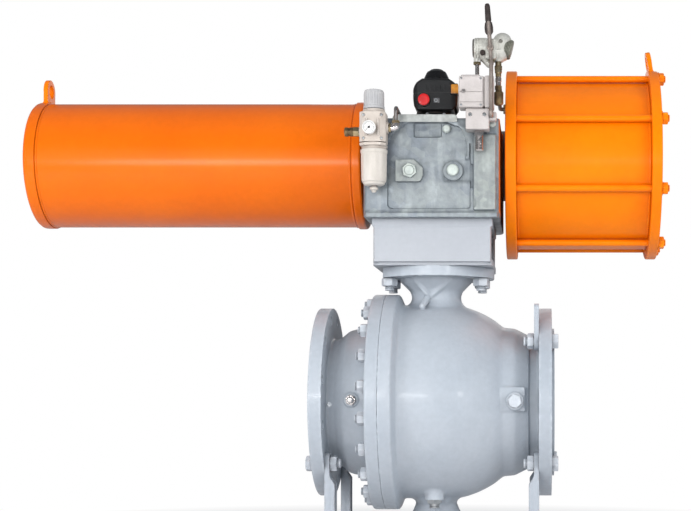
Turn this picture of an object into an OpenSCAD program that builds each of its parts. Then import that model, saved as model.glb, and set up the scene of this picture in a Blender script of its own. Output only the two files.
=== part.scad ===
// Side-entry trunnion ball valve with a spring-return scotch-yoke pneumatic
// actuator, switch box, filter regulator, solenoid valve and hand valve.
// Millimetres. Origin: centre of the ball, where the flow bore crosses the stem
// axis. +X (right) runs along the flow bore towards the pneumatic cylinder side,
// +Z runs up the stem, -Y is the front, which carries the accessories.

/* [Valve] */
// Overall length between the two raised faces
face_to_face = 610; // [606:1:620]
// Outside diameter of the pipe flanges
flange_od = 485; // [480:1:490]
// Flow bore diameter
bore_d = 303; // [298:1:303]
// Radius of the ball
ball_r = 222; // [220:0.5:222]
// Bolt circle of the pipe flanges
bolt_circle = 431.8; // [430:0.1:432]
// Diameter of the flange bolt holes
bolt_hole = 25.4; // [24:0.2:26]
// Number of holes in each pipe flange
bolt_count = 12; // [12]
// Outside radius of the bolted body joint
joint_r = 278; // [276:1:282]
// Number of studs in the body joint
stud_count = 20; // [16:2:20]
// Greatest radius of the body shell
shell_r = 254; // [252:1:256]

/* [Actuator] */
// Distance of the piston axis behind the stem axis
arm = 92; // [91:1:92]
// Height of the piston axis above the flow bore
axis_z = 627; // [626:1:628]
// Stroke of the piston, end to end
stroke = 184; // [180:1:184]
// Outside radius of the spring can
can_r = 161.95; // [158:0.05:163]
// Length of the spring can tube
can_len = 810; // [800:1:840]
// Outside radius of the pneumatic cylinder barrel
barrel_r = 220; // [220:1:222]
// Inside radius of the pneumatic cylinder barrel
piston_bore_r = 210; // [208:1:210]
// Length of the pneumatic cylinder barrel
barrel_len = 341; // [330:1:350]
// Radius of the cylinder end plates
plate_r = 247; // [246:1:252]
// Number of tie rods
tie_count = 8; // [6:1:8]
// Number of active coils of the return spring
spring_turns = 9; // [8:1:10]

/* [Stand] */
// Depth of the feet below the flow bore
foot_drop = 410; // [390:1:430]
// Width of each support leg
leg_w = 44; // [40:1:46]

/* [Hidden] */

// pipe flanges
face_x = face_to_face / 2;    // centre to raised face
raised_h = 6.4;               // height of the raised face
rim_x = face_x - raised_h;    // front face of the flange rim
flange_x = rim_x - 32.6;      // back face of the flange
flange_r = flange_od / 2;
raised_r = 190.5;
bore_r = bore_d / 2;
hole_r = bolt_hole / 2;
hole_45 = 152.66;             // Y and Z offset of the flange holes at 45 degrees

// body cavity and joint
cavity_r = 230;
pocket_r = 172.2;             // radius of the seat pockets
pocket_x = 187;               // depth of the seat pockets from the centre
joint_bore_r = 229;
joint_x = -125.5;             // plane of the body joint
joint_back = -158;            // face under the joint nuts
pocket_a = asin(pocket_r / cavity_r);       // cavity arc angle at the pocket
joint_a = asin(joint_bore_r / cavity_r);    // cavity arc angle at the joint
neck_bore_r = 46;
neck_top = 343;
neck_foot = -325;

// plugs and fittings of the body
vent_x = 207;
vent_z = 3;
drain_x = 2;
drain_y = -105;
grease_x = -198;
grease_z = 6;

// mounting spool and yoke housing
spool_t = 16;                 // thickness of the spool plates
case_x = 169;                 // half width of the case
case_z0 = 459;                // underside
case_z1 = 704;                // top
case_front = -183;
case_back = 240;
wall = 12;
floor_z = case_z0 + 20;
roof_z = 690;
cover_top = 736;
stop_x = 54;                  // stop bolts left and right of the stem
stop_z = 573;
journal_r = 50;               // yoke journals

// moving parts of the actuator
block_x = -stroke / 2;        // guide block centre with the spring extended
guide_y = arm + 73;           // axis of the guide bar
guide_r = 20;
pin_r = 16;
rod_r = 22;
piston_x0 = 226;
piston_x1 = 262;
groove_r = 203;               // bottom of the piston seal groove

// cylinder and spring can
plate_t = 28;
outer_t = 26;
plate_x = 181;                        // left face of the inner plate
barrel_x = plate_x + plate_t;         // left end of the barrel
outer_x = barrel_x + barrel_len;      // left face of the outer plate
outer_end = outer_x + outer_t;
can_right = -213;             // right end of the spring can tube
can_left = can_right - can_len;
port_y = -20;                 // air port of the inner plate
port_z = 757;

orange = [0.95, 0.45, 0.02];
grey = [0.70, 0.73, 0.77];
steel = [0.62, 0.65, 0.68];
polished = [0.80, 0.81, 0.82];
black = [0.05, 0.05, 0.06];
brass = [0.72, 0.55, 0.25];
beige = [0.85, 0.84, 0.80];
bronze = [0.60, 0.42, 0.20];

// ---- helpers -------------------------------------------------------------
// cylinders along X, Y or Z; the ends of xcyl and zcyl may come in either order
module xcyl(r, x0, x1, y = 0, z = 0, fn = 96)
  translate([min(x0, x1), y, z]) rotate([0, 90, 0]) cylinder(r = r, h = abs(x1 - x0), $fn = fn);
module ycyl(r, y0, y1, x = 0, z = 0, fn = 64)
  translate([x, y0, z]) rotate([-90, 0, 0]) cylinder(r = r, h = y1 - y0, $fn = fn);
module zcyl(r, z0, z1, x = 0, y = 0, fn = 64)
  translate([x, y, min(z0, z1)]) cylinder(r = r, h = abs(z1 - z0), $fn = fn);
module axis_cyl(r, x0, x1, fn = 96) xcyl(r, x0, x1, arm, axis_z, fn);

// the same with a through hole
module xring(r, hole, x0, x1, y = 0, z = 0, fn = 96, hole_fn = 96) difference() {
  xcyl(r, x0, x1, y, z, fn);
  xcyl(hole, min(x0, x1) - 1, max(x0, x1) + 1, y, z, hole_fn);
}
module zring(r, hole, z0, z1, fn = 64, hole_fn = 64) difference() {
  zcyl(r, z0, z1, fn = fn);
  zcyl(hole, z0 - 1, z1 + 1, fn = hole_fn);
}
module axis_ring(r, hole, x0, x1, fn = 96, hole_fn = 96)
  xring(r, hole, x0, x1, arm, axis_z, fn, hole_fn);

// lathe profiles: radius first, position along the axis second
module zrev(points, fn = 128) rotate_extrude($fn = fn) polygon(points);
module xrev(points) rotate([0, 90, 0]) zrev(points);
function arc(center_r, center, r, a0, a1, n) =
  [for (i = [0 : n]) let (a = a0 + (a1 - a0) * i / n)
    [center_r + r * sin(a), center + r * cos(a)]];
function ring_profile(r0, r1, x0, x1) = [[r0, x0], [r1, x0], [r1, x1], [r0, x1]];

module box(low, high) translate(low) cube(high - low);
module square_bar(half, z0, z1) box([-half, -half, z0], [half, half, z1]);

// circular patterns, all starting half a pitch round
module around_x(count, r, y = 0, z = 0)
  for (i = [0 : count - 1]) let (a = 360 * (i + 0.5) / count)
    translate([0, y + r * cos(a), z + r * sin(a)]) children();
module around_z(count, r)
  for (i = [0 : count - 1]) let (a = 360 * (i + 0.5) / count)
    translate([r * cos(a), r * sin(a), 0]) children();
module at_studs() around_x(stud_count, 252) children();
module at_ties() around_x(tie_count, 230, arm, axis_z) children();
module at_mounts() around_z(8, 127) children();      // actuator mounting bolts
module at_gland() around_z(4, 65) children();
module at_trunnion_cap() around_z(6, 78) children();
module at_cover() around_z(8, 68) children();

// ---- valve ---------------------------------------------------------------
// from the raised face inwards; side is -1 for the left flange, 1 for the right
function flange_profile(side) = [for (p = [
  [160, flange_x - 13], [163, flange_x - 5], [170, flange_x],
  [flange_r - 2, flange_x], [flange_r, flange_x + 2],
  [flange_r, rim_x - 2], [flange_r - 2, rim_x],
  [raised_r, rim_x], [raised_r, face_x],
  [bore_r, face_x], [bore_r, pocket_x], [pocket_r, pocket_x]]) [p[0], side * p[1]]];
module flange_holes(x0)
  around_x(bolt_count, bolt_circle / 2) xcyl(hole_r, x0, x0 + face_x - flange_x + 10, fn = 48);

// slightly domed part of the shell, left of its greatest radius
function left_shell() = [for (i = [0 : 6]) let (x = -84 + 94 * i / 6)
  [shell_r - 8 * pow((10 - x) / 102, 2), x]];

// keeps the cavity clear where the necks meet the shell
module cavity_cut() xrev(concat(
  [[0, joint_x - 1], [joint_bore_r, joint_x - 1]],
  arc(0, 0, cavity_r, joint_a, pocket_a, 14),
  [[0, cavity_r * cos(pocket_a)]]));

module valve_body() color(grey) difference() {
  union() {
    xrev(concat(
      [[joint_bore_r, joint_x], [joint_r - 2, joint_x], [joint_r, joint_x + 2],
       [joint_r, -94.6], [joint_r - 2, -92.6], [shell_r + 4, -92.6], [shell_r - 4, -90]],
      left_shell(),
      arc(0, 10, shell_r, 86, 53, 12),
      [[196, 170], [192, 174], [190, 180], [190, 206], [187, 211], [172, 235],
       [163, 243], [160, 247]],
      flange_profile(1),
      arc(0, 0, cavity_r, pocket_a, joint_a, 14)));
    // stem neck with the actuator flange on top
    zrev([[neck_bore_r, 236], [100, 236], [84, 243], [72, 250], [65, 259], [64, 268],
      [64, 290], [67, 300], [78, 312], [94, 318], [148, 318], [150, 320],
      [150, neck_top - 2], [148, neck_top], [neck_bore_r, neck_top]]);
    // trunnion neck
    zrev([[neck_bore_r, neck_foot], [93, neck_foot], [95, neck_foot + 2], [95, -302],
      [93, -300], [76, -296], [64, -286], [54, -268], [51, -256], [56, -246],
      [70, -238], [neck_bore_r, -236]]);
    // bosses for the vent and drain plugs
    ycyl(20, -206, -160, vent_x, vent_z);
    zcyl(24, -246, -222, drain_x, drain_y);
  }
  cavity_cut();
  zcyl(neck_bore_r, 215, 350);
  zcyl(neck_bore_r, -330, -215);
  flange_holes(flange_x - 5);
  at_studs() xcyl(10, joint_x - 1, joint_x + 27, fn = 48);
  at_mounts() zcyl(13, 310, 350, fn = 48);
  at_gland() zcyl(8, 323, 344, fn = 32);
  at_trunnion_cap() zcyl(8, -326, -306, fn = 32);
  ycyl(12, -210, -186, vent_x, vent_z);
  zcyl(12, -250, -232, drain_x, drain_y);
}

module closure() color(grey) difference() {
  union() {
    xrev(concat(
      // spigot with the O-ring groove, then the joint flange
      [[200, -112], [226.9, -112], [228.9, -114], [228.9, -116.5], [225, -116.5],
       [225, -122.5], [228.9, -122.5], [228.9, joint_x], [joint_r - 2, joint_x],
       [joint_r, joint_x - 2], [joint_r, joint_back + 2], [joint_r - 2, joint_back],
       [200, joint_back], [194, -162], [192, -170], [191, -200], [183, -241],
       [181, -243], [163, -244], [160, -248]],
      flange_profile(-1),
      arc(0, 0, cavity_r, 180 - pocket_a, 180 - asin(200 / cavity_r), 6)));
    ycyl(17, -196, -177, grease_x, grease_z);
  }
  flange_holes(-face_x - 5);
  at_studs() xcyl(11, joint_back - 2, joint_x + 1, fn = 48);
  ycyl(8, -200, -178, grease_x, grease_z);
}

module ball() color(polished) difference() {
  intersection() {
    sphere(r = ball_r, $fn = 128);
    box([-230, -230, -212], [230, 230, 212]);
  }
  xcyl(bore_r, -240, 240, fn = 128);
  box([-18.1, -38.2, 168], [18.1, 38.2, 215]);   // slot for the stem tongue
  zcyl(41, 190, 215);
  zcyl(50, -215, -160);
}

module stem() color(steel) union() {
  box([-18, -38, 170], [18, 38, 192]);
  zcyl(40, 192, 385);
  square_bar(27, 385, 415);
}

module bushes() color(bronze) {
  // outside radius, hole radius, lower end, upper end
  for (b = [
    [neck_bore_r, 40.05, 236, 330],                  // stem bearing in the neck
    [49.95, 45.02, -205, -165],                      // trunnion bearing in the ball
    [55, journal_r + 0.05, case_z0, floor_z],        // lower yoke journal
    [55, journal_r + 0.05, roof_z, 714]])            // upper yoke journal
    zring(b[0], b[1], b[2], b[3]);
  // rod guides in the housing walls
  axis_ring(30, rod_r + 0.05, -case_x, wall - case_x);
  axis_ring(30, rod_r + 0.05, case_x - wall, barrel_x);
}

module o_ring(r, z, wire_r, fn = 96)
  rotate_extrude($fn = fn) translate([r, z]) circle(r = wire_r, $fn = 32);
module o_rings() color(black) {
  rotate([0, 90, 0]) o_ring(226.95, -119.5, 1.94, 128);   // body joint
  for (z = [333, 339]) o_ring(43.02, z, 2.9);             // stem packing
  o_ring(54, -327.5, 2.45);                               // trunnion cap
}

module gland_plate() color(steel) difference() {
  zrev([[41, neck_top], [80, neck_top], [80, 359], [78, 361], [51, 361],
    [48, 366], [41, 366]], 96);
  at_gland() zcyl(9, 340, 365, fn = 32);
}

module lower_trunnion() color(steel) union() {
  zcyl(45, -236, -165);
  zcyl(45.95, neck_foot, -236);
}

module trunnion_cap() color(grey) difference() {
  zrev([[0, neck_foot], [51, neck_foot], [51, -330.2], [57, -330.2], [57, neck_foot],
    [95, neck_foot], [95, -341], [91, -345], [50, -345], [44, -349], [0, -349]], 96);
  at_trunnion_cap() zcyl(9, -350, -320, fn = 32);
}

// seats, with an insert let into the face of each ring
insert_r0 = 158;
insert_r1 = 165;
insert_x = 166;               // bottom of the insert
module seat_ring(side) difference() {
  xrev(ring_profile(bore_r, 171.7, side * 146, side * 185));
  sphere(r = ball_r + 0.3, $fn = 128);
  xrev(ring_profile(insert_r0 - 0.1, insert_r1 + 0.1, side * 130, side * (insert_x + 0.1)));
}
module seat_ring_left() color(steel) seat_ring(-1);
module seat_ring_right() color(steel) seat_ring(1);
// where the insert touches the ball
function contact_x(r) = sqrt(pow(ball_r + 0.1, 2) - r * r);
module seat_inserts() color([0.93, 0.93, 0.90]) for (side = [-1, 1])
  xrev([[insert_r0, side * contact_x(insert_r0)], [insert_r1, side * contact_x(insert_r1)],
    [insert_r1, side * insert_x], [insert_r0, side * insert_x]]);

module closure_studs() color(steel)
  at_studs() xcyl(9.9, -182, joint_x + 26, fn = 32);
module closure_nuts() color(grey)
  at_studs() xring(17.3, 9.95, joint_back - 20, joint_back, fn = 6, hole_fn = 32);

module grease_fitting() color(steel) union() {
  ycyl(7.9, -196, -179, grease_x, grease_z);
  ycyl(13.5, -206, -196, grease_x, grease_z, 6);
  ycyl(8, -214, -206, grease_x, grease_z);
  translate([grease_x, -214, grease_z]) sphere(r = 6, $fn = 32);
}
module vent_plug() color(grey) union() {
  ycyl(11.9, -206, -187, vent_x, vent_z);
  ycyl(15.6, -217, -206, vent_x, vent_z, 6);
}
module drain_plug() color(steel) union() {
  zcyl(11.9, -246, -233, drain_x, drain_y);
  zcyl(20, -256, -246, drain_x, drain_y, 6);
  zcyl(13, -268, -256, drain_x, drain_y);
}

// ---- mounting spool --------------------------------------------------------
spool_z0 = neck_top + spool_t;    // top of the lower plate
spool_z1 = case_z0 - spool_t;     // underside of the upper plate
module bracket() color([0.80, 0.82, 0.85]) difference() {
  union() {
    box([-150, -150, neck_top], [150, 150, spool_z0]);
    box([-150, -160, spool_z1], [150, 160, case_z0]);
    for (t = [-1, 1])
      box([-140, t * 144 - 6, spool_z0 - 1], [140, t * 144 + 6, spool_z1 + 1]);
    for (s = [-1, 1]) for (t = [-1, 1])
      box([s * 134 - 6, t * 116 - 24, spool_z0 - 1], [s * 134 + 6, t * 116 + 24, spool_z1 + 1]);
  }
  zcyl(95, 340, 362);
  zcyl(80, 440, 462);
  at_mounts() zcyl(13, 340, 362, fn = 48);
  at_mounts() zcyl(11, 440, 462, fn = 48);
  // rounded corners of the lower plate
  for (s = [-1, 1]) for (t = [-1, 1]) difference() {
    box([s * 140 - 11, t * 140 - 11, 340], [s * 140 + 11, t * 140 + 11, 362]);
    zcyl(22, 339, 363, s * 128, t * 128);
  }
}

module bracket_bolts() color(steel) {
  // valve flange bolts, head up, nut below
  at_mounts() {
    zcyl(11.9, 286, spool_z0, fn = 32);
    zcyl(20.8, spool_z0, spool_z0 + 13, fn = 6);
  }
  at_mounts() zring(20.8, 11.95, 297, 318, 6, 32);
  // housing bolts, head down
  at_mounts() {
    zcyl(9.9, spool_z1, 476, fn = 32);
    zcyl(17.3, spool_z1 - 12, spool_z1, fn = 6);
  }
}

module stem_coupling() color(steel) difference() {
  zcyl(60, 380, 455);
  zcyl(40.1, 379, 385.1);
  for (z = [384, 424]) square_bar(27.1, z, z + 32);
}

// ---- support legs ----------------------------------------------------------
// channel leg with its foot; side: -1 left, 1 right; depth: -1 front, 1 back
module leg(side, depth) {
  y = depth * 152.7;
  web_x = side * (flange_x - 6);
  lip_x = side * (flange_x - 16.5);
  foot_x = side * (flange_x - 20);
  foot_z = -foot_drop;
  difference() {
    union() {
      box([web_x - 6, y - leg_w / 2, foot_z + 9], [web_x + 6, y + leg_w / 2, -125]);
      for (u = [-1, 1]) let (lip_y = y + u * (leg_w / 2 - 3))
        box([lip_x - 8.6, lip_y - 3, foot_z + 9], [lip_x + 8.6, lip_y + 3, -185]);
      box([foot_x - 40, y - 40, foot_z], [foot_x + 40, y + 40, foot_z + 10]);
    }
    xcyl(198, -400, 400, fn = 128);
    xcyl(12.7, side * flange_x - 14, side * flange_x + 14, depth * hole_45, -hole_45, 48);
    zcyl(9, foot_z - 1, foot_z + 12, side * (flange_x - 45), y, 48);
  }
}
module support_legs() color([0.62, 0.66, 0.70])
  for (side = [-1, 1]) for (depth = [-1, 1]) leg(side, depth);

module leg_bolt(side, y, z) {
  xcyl(11.9, side * (flange_x - 38), side * rim_x, y, z, 32);
  xcyl(20.2, side * rim_x, side * (rim_x + 16), y, z, 6);
  xring(20.2, 11.95, side * (flange_x - 30), side * (flange_x - 12), y, z, 6, 32);
}
module leg_bolts() color(steel) {
  for (side = [-1, 1]) for (depth = [-1, 1]) leg_bolt(side, depth * hole_45, -hole_45);
  leg_bolt(1, -hole_45, hole_45);   // holds the grey lifting lug
}

// up: 1 with the head above z = 0, -1 with the head below
module socket_screw(r, head_r, len, head_h, up = 1) {
  zcyl(r, -up * len, 0, fn = 32);
  difference() {
    zcyl(head_r, 0, up * head_h, fn = 48);
    zcyl(head_r * 0.55, up * head_h / 2, up * (head_h + 1), fn = 6);
  }
}
module cap_screws() color(steel) {
  at_gland() translate([0, 0, 361]) socket_screw(7.9, 12, 36, 14);
  at_trunnion_cap() translate([0, 0, -345]) socket_screw(7.9, 12, 37, 14, -1);
  at_cover() translate([0, 0, 722]) socket_screw(3.9, 6.5, 28, 7);
}

// ---- yoke housing ------------------------------------------------------------
module yoke_housing() color(steel) difference() {
  union() {
    // case with chamfered vertical corners
    translate([0, 0, case_z0]) linear_extrude(case_z1 - case_z0) polygon([
      [-case_x, case_front + 8], [-case_x + 8, case_front],
      [case_x - 8, case_front], [case_x, case_front + 8],
      [case_x, case_back - 30], [case_x - 30, case_back],
      [-case_x + 30, case_back], [-case_x, case_back - 30]]);
    axis_cyl(92, case_x - 1, plate_x);
    // pads of the two stop bolts
    translate([0, case_front + 1, 0]) rotate([90, 0, 0]) linear_extrude(9) polygon([
      [-88, 546], [-28, 546], [-22, 560], [-22, 580], [-42, 600], [-88, 600]]);
    ycyl(24, case_front - 6, case_front + 2, stop_x, stop_z);
    // raised column on the right of the front wall
    box([104, case_front - 4, 478], [case_x - 9, case_front + 2, 662]);
    // raised pad along the front of the top
    box([-96, case_front, case_z1 - 4], [64, -100, case_z1 + 9]);
    // base lip
    box([-case_x + 6, case_front - 3, case_z0], [case_x - 6, case_front + 2, case_z0 + 12]);
  }
  box([-case_x + wall, case_front + wall, floor_z], [case_x - wall, case_back - wall, roof_z]);
  zcyl(55, 450, 485);
  zcyl(60, 685, 710);
  at_mounts() zcyl(10, case_z0 - 1, 477, fn = 32);
  at_cover() zcyl(4, 693, 705, fn = 32);
  axis_cyl(30, -171, -155);
  axis_cyl(30, 155, 183);
  for (s = [-1, 1]) xcyl(guide_r + 0.02, s * 156, s * 163, guide_y, axis_z);
  for (s = [-1, 1]) ycyl(12, case_front - 12, -165, s * stop_x, stop_z, 48);
}

module housing_cover() color([0.66, 0.69, 0.70]) difference() {
  zrev([[55, roof_z], [59.9, roof_z], [59.9, case_z1], [77, case_z1], [77, 717],
    [74.5, 720.5], [70, 722], [60.5, 722], [58, 733], [54, cover_top],
    [15.05, cover_top], [15.05, 716], [55, 716]]);
  at_cover() zcyl(4, 700, 723, fn = 32);
}

// one arm of the fork, pointing along +X before it is turned
fork_t = 18;
fork_z = [571, 665];          // undersides of the lower and upper arms
module fork_arm(z0) {
  z1 = z0 + fork_t;
  difference() {
    intersection() {
      box([0, -40, z0], [162, 40, z1]);
      zcyl(166, z0 - 1, z1 + 1, fn = 96);
    }
    box([arm - 23, -25.8, z0 - 1], [arm * sqrt(2) + 22, 25.8, z1 + 1]);
  }
}
module yoke() color([0.45, 0.46, 0.48]) union() {
  zcyl(62, 479.6, 689.4, fn = 96);
  zcyl(journal_r, 457, 714, fn = 96);
  square_bar(27, 425, 458);
  zcyl(15, 713, 752);
  rotate([0, 0, 135]) {
    for (z = fork_z) fork_arm(z);
  }
  // two short arms level with the stop bolts
  for (a = [65, 205]) rotate([0, 0, a]) box([0, -15, 560], [94, 15, 586]);
}

module guide_block() color(steel) difference() {
  box([block_x - 45, 66, axis_z - 32], [block_x + 45, 196, axis_z + 32]);
  zcyl(pin_r + 0.02, axis_z - 40, axis_z + 40, block_x, arm);
  xcyl(guide_r + 0.05, block_x - 50, block_x + 50, guide_y, axis_z);
  for (s = [-1, 1]) axis_cyl(rod_r, block_x + s * 30, block_x + s * 46);
}
module yoke_pin() color(steel) zcyl(pin_r, axis_z - 58, axis_z + 58, block_x, arm);
module slider_blocks() color(bronze) for (z = fork_z) difference() {
  translate([block_x, arm, z + 0.1]) rotate([0, 0, 45])
    translate([-18, -18, 0]) cube([36, 36, fork_t - 0.2]);
  zcyl(pin_r + 0.05, z - 0.9, z + 20.1, block_x, arm);
}
module guide_bar() color([0.75, 0.76, 0.78]) xcyl(guide_r, -163, 163, guide_y, axis_z);

// ---- pneumatic cylinder --------------------------------------------------------
module piston_rod() color([0.78, 0.79, 0.81]) union() {
  axis_cyl(rod_r, block_x + 30, piston_x1);
  axis_cyl(14, piston_x1, piston_x1 + 30);
}
module piston() color([0.70, 0.71, 0.73]) union() {
  difference() {
    axis_cyl(piston_bore_r - 0.1, piston_x0, piston_x1, 128);
    axis_ring(piston_bore_r + 2, groove_r, 238, 250, 128, 128);   // seal groove
    axis_cyl(rod_r, piston_x0 - 6, piston_x1 + 1);
    axis_ring(180, 60, piston_x1 - 10, piston_x1 + 1);            // face recess
  }
  axis_ring(26, 14, piston_x1, piston_x1 + 20, 6);                // rod nut
}
module piston_seal() color(black)
  axis_ring(piston_bore_r - 0.05, groove_r + 0.05, 238.1, 249.9, 128, 128);
module cylinder_barrel() color(orange)
  axis_ring(barrel_r, piston_bore_r, barrel_x, outer_x, 128, 128);

// chamfered end plate of the cylinder
module end_disc(x, t, chamfer = 3) translate([x, arm, axis_z])
  xrev([[0, 0], [plate_r - chamfer, 0], [plate_r, chamfer], [plate_r, t - chamfer],
    [plate_r - chamfer, t], [0, t]]);
module inner_plate() color(orange) difference() {
  end_disc(plate_x, plate_t);
  axis_cyl(30, plate_x - 1, barrel_x + 1);
  at_ties() xcyl(9, plate_x + 6, barrel_x + 1, fn = 32);
  xcyl(8, plate_x - 1, barrel_x + 1, port_y, port_z, 48);
}
module outer_plate() color(orange) difference() {
  end_disc(outer_x, outer_t);
  at_ties() xcyl(9.2, outer_x - 1, outer_end + 1, fn = 32);
  xcyl(9, outer_x - 1, outer_end + 1, arm, axis_z - 150, 48);
}
module tie_rods() color(orange)
  at_ties() xcyl(8.9, plate_x + 7, outer_end + 19, fn = 32);
module tie_rod_nuts() color(orange)
  at_ties() xring(16.5, 8.95, outer_end, outer_end + 15, fn = 6, hole_fn = 32);

// ---- spring can ------------------------------------------------------------------
module spring_can() color(orange)
  axis_ring(can_r, can_r - 9.5, can_left, can_right, 128, 128);
module can_end_cap() color(orange) translate([can_left, arm, axis_z]) rotate([0, -90, 0])
  zrev([[0, 0], [can_r + 3, 0], [can_r + 3.5, 3], [can_r + 3.5, 22],
    [can_r + 1, 27], [can_r - 4, 30], [0, 30]]);
module can_flange() color(orange) difference() {
  union() {
    translate([can_right, arm, axis_z]) xrev([[0, 0], [can_r + 4, 0], [can_r + 5, 2],
      [can_r + 5, 20], [can_r + 3, 23], [0, 23]]);
    axis_cyl(100, can_right + 20, -case_x);
  }
  axis_cyl(24, can_right - 1, -case_x + 1);
}

// open coil swept as a closed skin: steps per turn, facets round the wire
module coil(x0, x1, coil_r, wire_r, turns, turn_steps, facets) {
  steps = turns * turn_steps;
  points = [for (i = [0 : steps])
    let (t = i / steps, a = 360 * turns * t, x = x0 + wire_r + (x1 - x0 - 2 * wire_r) * t)
    for (j = [0 : facets - 1]) let (b = 360 * j / facets, r = coil_r + wire_r * cos(b))
      [x + wire_r * sin(b), arm + r * cos(a), axis_z + r * sin(a)]];
  sides = [for (i = [0 : steps - 1]) for (j = [0 : facets - 1])
    let (k = (j + 1) % facets, here = i * facets, next = here + facets)
      [here + j, next + j, next + k, here + k]];
  ends = [[for (j = [0 : facets - 1]) j],
    [for (j = [facets - 1 : -1 : 0]) steps * facets + j]];
  polyhedron(points = points, faces = concat(sides, ends), convexity = 10);
}
module spring() color([0.30, 0.31, 0.33])
  coil(can_left + 39, can_right - 1, coil_r = 112, wire_r = 15, turns = spring_turns,
    turn_steps = 20, facets = 8);
module spring_plate() color(steel) union() {
  axis_cyl(138, can_left + 19, can_left + 38.8);
  axis_cyl(rod_r, can_left + 11, block_x - 30);
  axis_cyl(90, can_left + 37, can_left + 63);
}

// x, then outer end, inner end and facets of the nut or cap, ends measured
// forward of the front wall
module stop_bolts() color(polished)
  for (b = [[-stop_x, 16, 8.1, 6], [stop_x, 20, 6.1, 48]]) {
    ycyl(11.9, case_front - 16, -48, b[0], stop_z, 48);
    difference() {
      ycyl(18, case_front - b[1], case_front - b[2], b[0], stop_z, b[3]);
      ycyl(11.95, case_front - 12, case_front, b[0], stop_z, 48);
    }
  }

module eye(outer_d, hole_d, t) {
  r = outer_d / 2;
  difference() {
    union() {
      xcyl(r, -t / 2, t / 2, 0, r + 14, 64);
      box([-t / 2, -r, 0], [t / 2, r, r + 14]);
    }
    xcyl(hole_d / 2, -t, t, 0, r + 14, 48);
  }
}
module lifting_eyes() color(orange) {
  // on the spring can end cap
  difference() {
    translate([can_left - 14, arm, axis_z + can_r - 10]) eye(62, 34, 12);
    axis_cyl(can_r + 4, can_left - 31, can_left + 2, 128);
  }
  // on the outer plate of the cylinder
  difference() {
    translate([outer_x + 15, arm, axis_z + plate_r - 18]) rotate([0, -9, 0]) eye(60, 32, 12);
    axis_cyl(plate_r + 0.3, outer_x - 20, outer_x + 60, 128);
  }
  // lug bolted to the back face of the right pipe flange
  color(grey) difference() {
    box([flange_x - 12, -176, 130], [flange_x, -130, 246]);
    xcyl(12.7, flange_x - 14, flange_x + 5, -hole_45, hole_45, 48);
    xcyl(12, flange_x - 14, flange_x + 5, -hole_45, 222, 48);
    xcyl(172, flange_x - 14, flange_x + 5, fn = 128);
  }
}

// ---- position switch box ---------------------------------------------------------
switch_z = cover_top + 12;    // underside of the switch box
lid_z = 834;                  // top of its lid
entry_x = -20;                // cable entry on the back
entry_z = 778;
module switch_bracket() color([0.25, 0.22, 0.20]) difference() {
  zcyl(38, cover_top, switch_z);
  zcyl(30, cover_top - 1, switch_z + 1);
  box([-20, -45, 739], [20, 45, 745]);
}
module switch_box() color(black) difference() {
  union() {
    box([-58, -52, switch_z], [58, 52, 826]);
    box([-52, -46, 826], [52, 46, lid_z]);
    ycyl(15, -62, -51, -29, 774);
    box([38, -57, 789], [53, -51, 815]);
    ycyl(13, 50, 64, entry_x, entry_z);
  }
  box([-53, -47, switch_z + 5], [53, 47, 822]);
  zcyl(17, 745, 755);
  zcyl(8.6, 820, 836);
  ycyl(10, 45, 66, entry_x, entry_z, 48);
}
module beacon_dome() color([0.12, 0.12, 0.13]) zrev([[28, lid_z], [33, lid_z],
  [33, 838], [31, 839], [31, 856], [29, 861], [24, 864], [0, 865],
  [0, 862.5], [23, 861.5], [26.5, 859], [28, 855]], 96);
module beacon() color([0.75, 0.05, 0.04]) union() {
  zcyl(8, 752, 838);
  zcyl(24, 838, 856);
  box([-26.5, -5, 840], [26.5, 5, 854]);
}

// ---- filter regulator --------------------------------------------------------------
reg_x = -137.6;
reg_y = -225;
gauge_x = reg_x - 6;
gauge_z = 664;
inlet_z = 662;                // port on the left
outlet_z = 672;               // port on the right
outlet_x = -84;               // tube rising from the outlet elbow
module filter_regulator() color(beige) difference() {
  union() {
    translate([reg_x, reg_y, 625]) linear_extrude(83) polygon([[-34, -22], [-22, -34],
      [22, -34], [34, -22], [34, 26], [26, 34], [-26, 34], [-34, 26]]);
    box([reg_x - 22, reg_y + 33, 640], [reg_x + 22, case_front, 700]);
    zcyl(24, 707, 716, reg_x, reg_y);
    zcyl(30, 618, 626, reg_x, reg_y);
    ycyl(8, -266, reg_y - 30, gauge_x, gauge_z);
  }
  xcyl(9, reg_x - 40, reg_x - 16, reg_y, inlet_z, 48);
  xcyl(9, reg_x + 16, reg_x + 40, reg_y, outlet_z, 48);
  zcyl(10.05, 708, 718, reg_x, reg_y);
}
module regulator_knob() color([0.60, 0.61, 0.63]) union() {
  zcyl(10, 709, 717, reg_x, reg_y);
  difference() {
    zcyl(26, 716.3, 762, reg_x, reg_y);
    // grip flutes
    for (i = [0 : 17]) translate([reg_x, reg_y, 0]) rotate([0, 0, 20 * i])
      zcyl(1.8, 722, 756, 27, 0, 16);
  }
  zcyl(22, 761, 765, reg_x, reg_y);
}
module filter_bowl() color([0.84, 0.84, 0.82]) union() {
  translate([reg_x, reg_y, 0]) zrev([[0, 530], [22, 530], [29, 534], [33, 542],
    [34, 552], [34, 612], [36, 613], [36, 617.9], [31, 617.9], [31, 548],
    [26, 536], [0, 535]], 96);
  zcyl(6, 514, 532, reg_x, reg_y);
  zcyl(10, 520, 526, reg_x, reg_y, 12);
}
module gauge() color([0.92, 0.92, 0.90]) difference() {
  union() {
    ycyl(19, -288, -268, gauge_x, gauge_z);
    ycyl(8, -268.5, -266, gauge_x, gauge_z);
  }
  ycyl(17, -289, -283, gauge_x, gauge_z);
}
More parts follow.
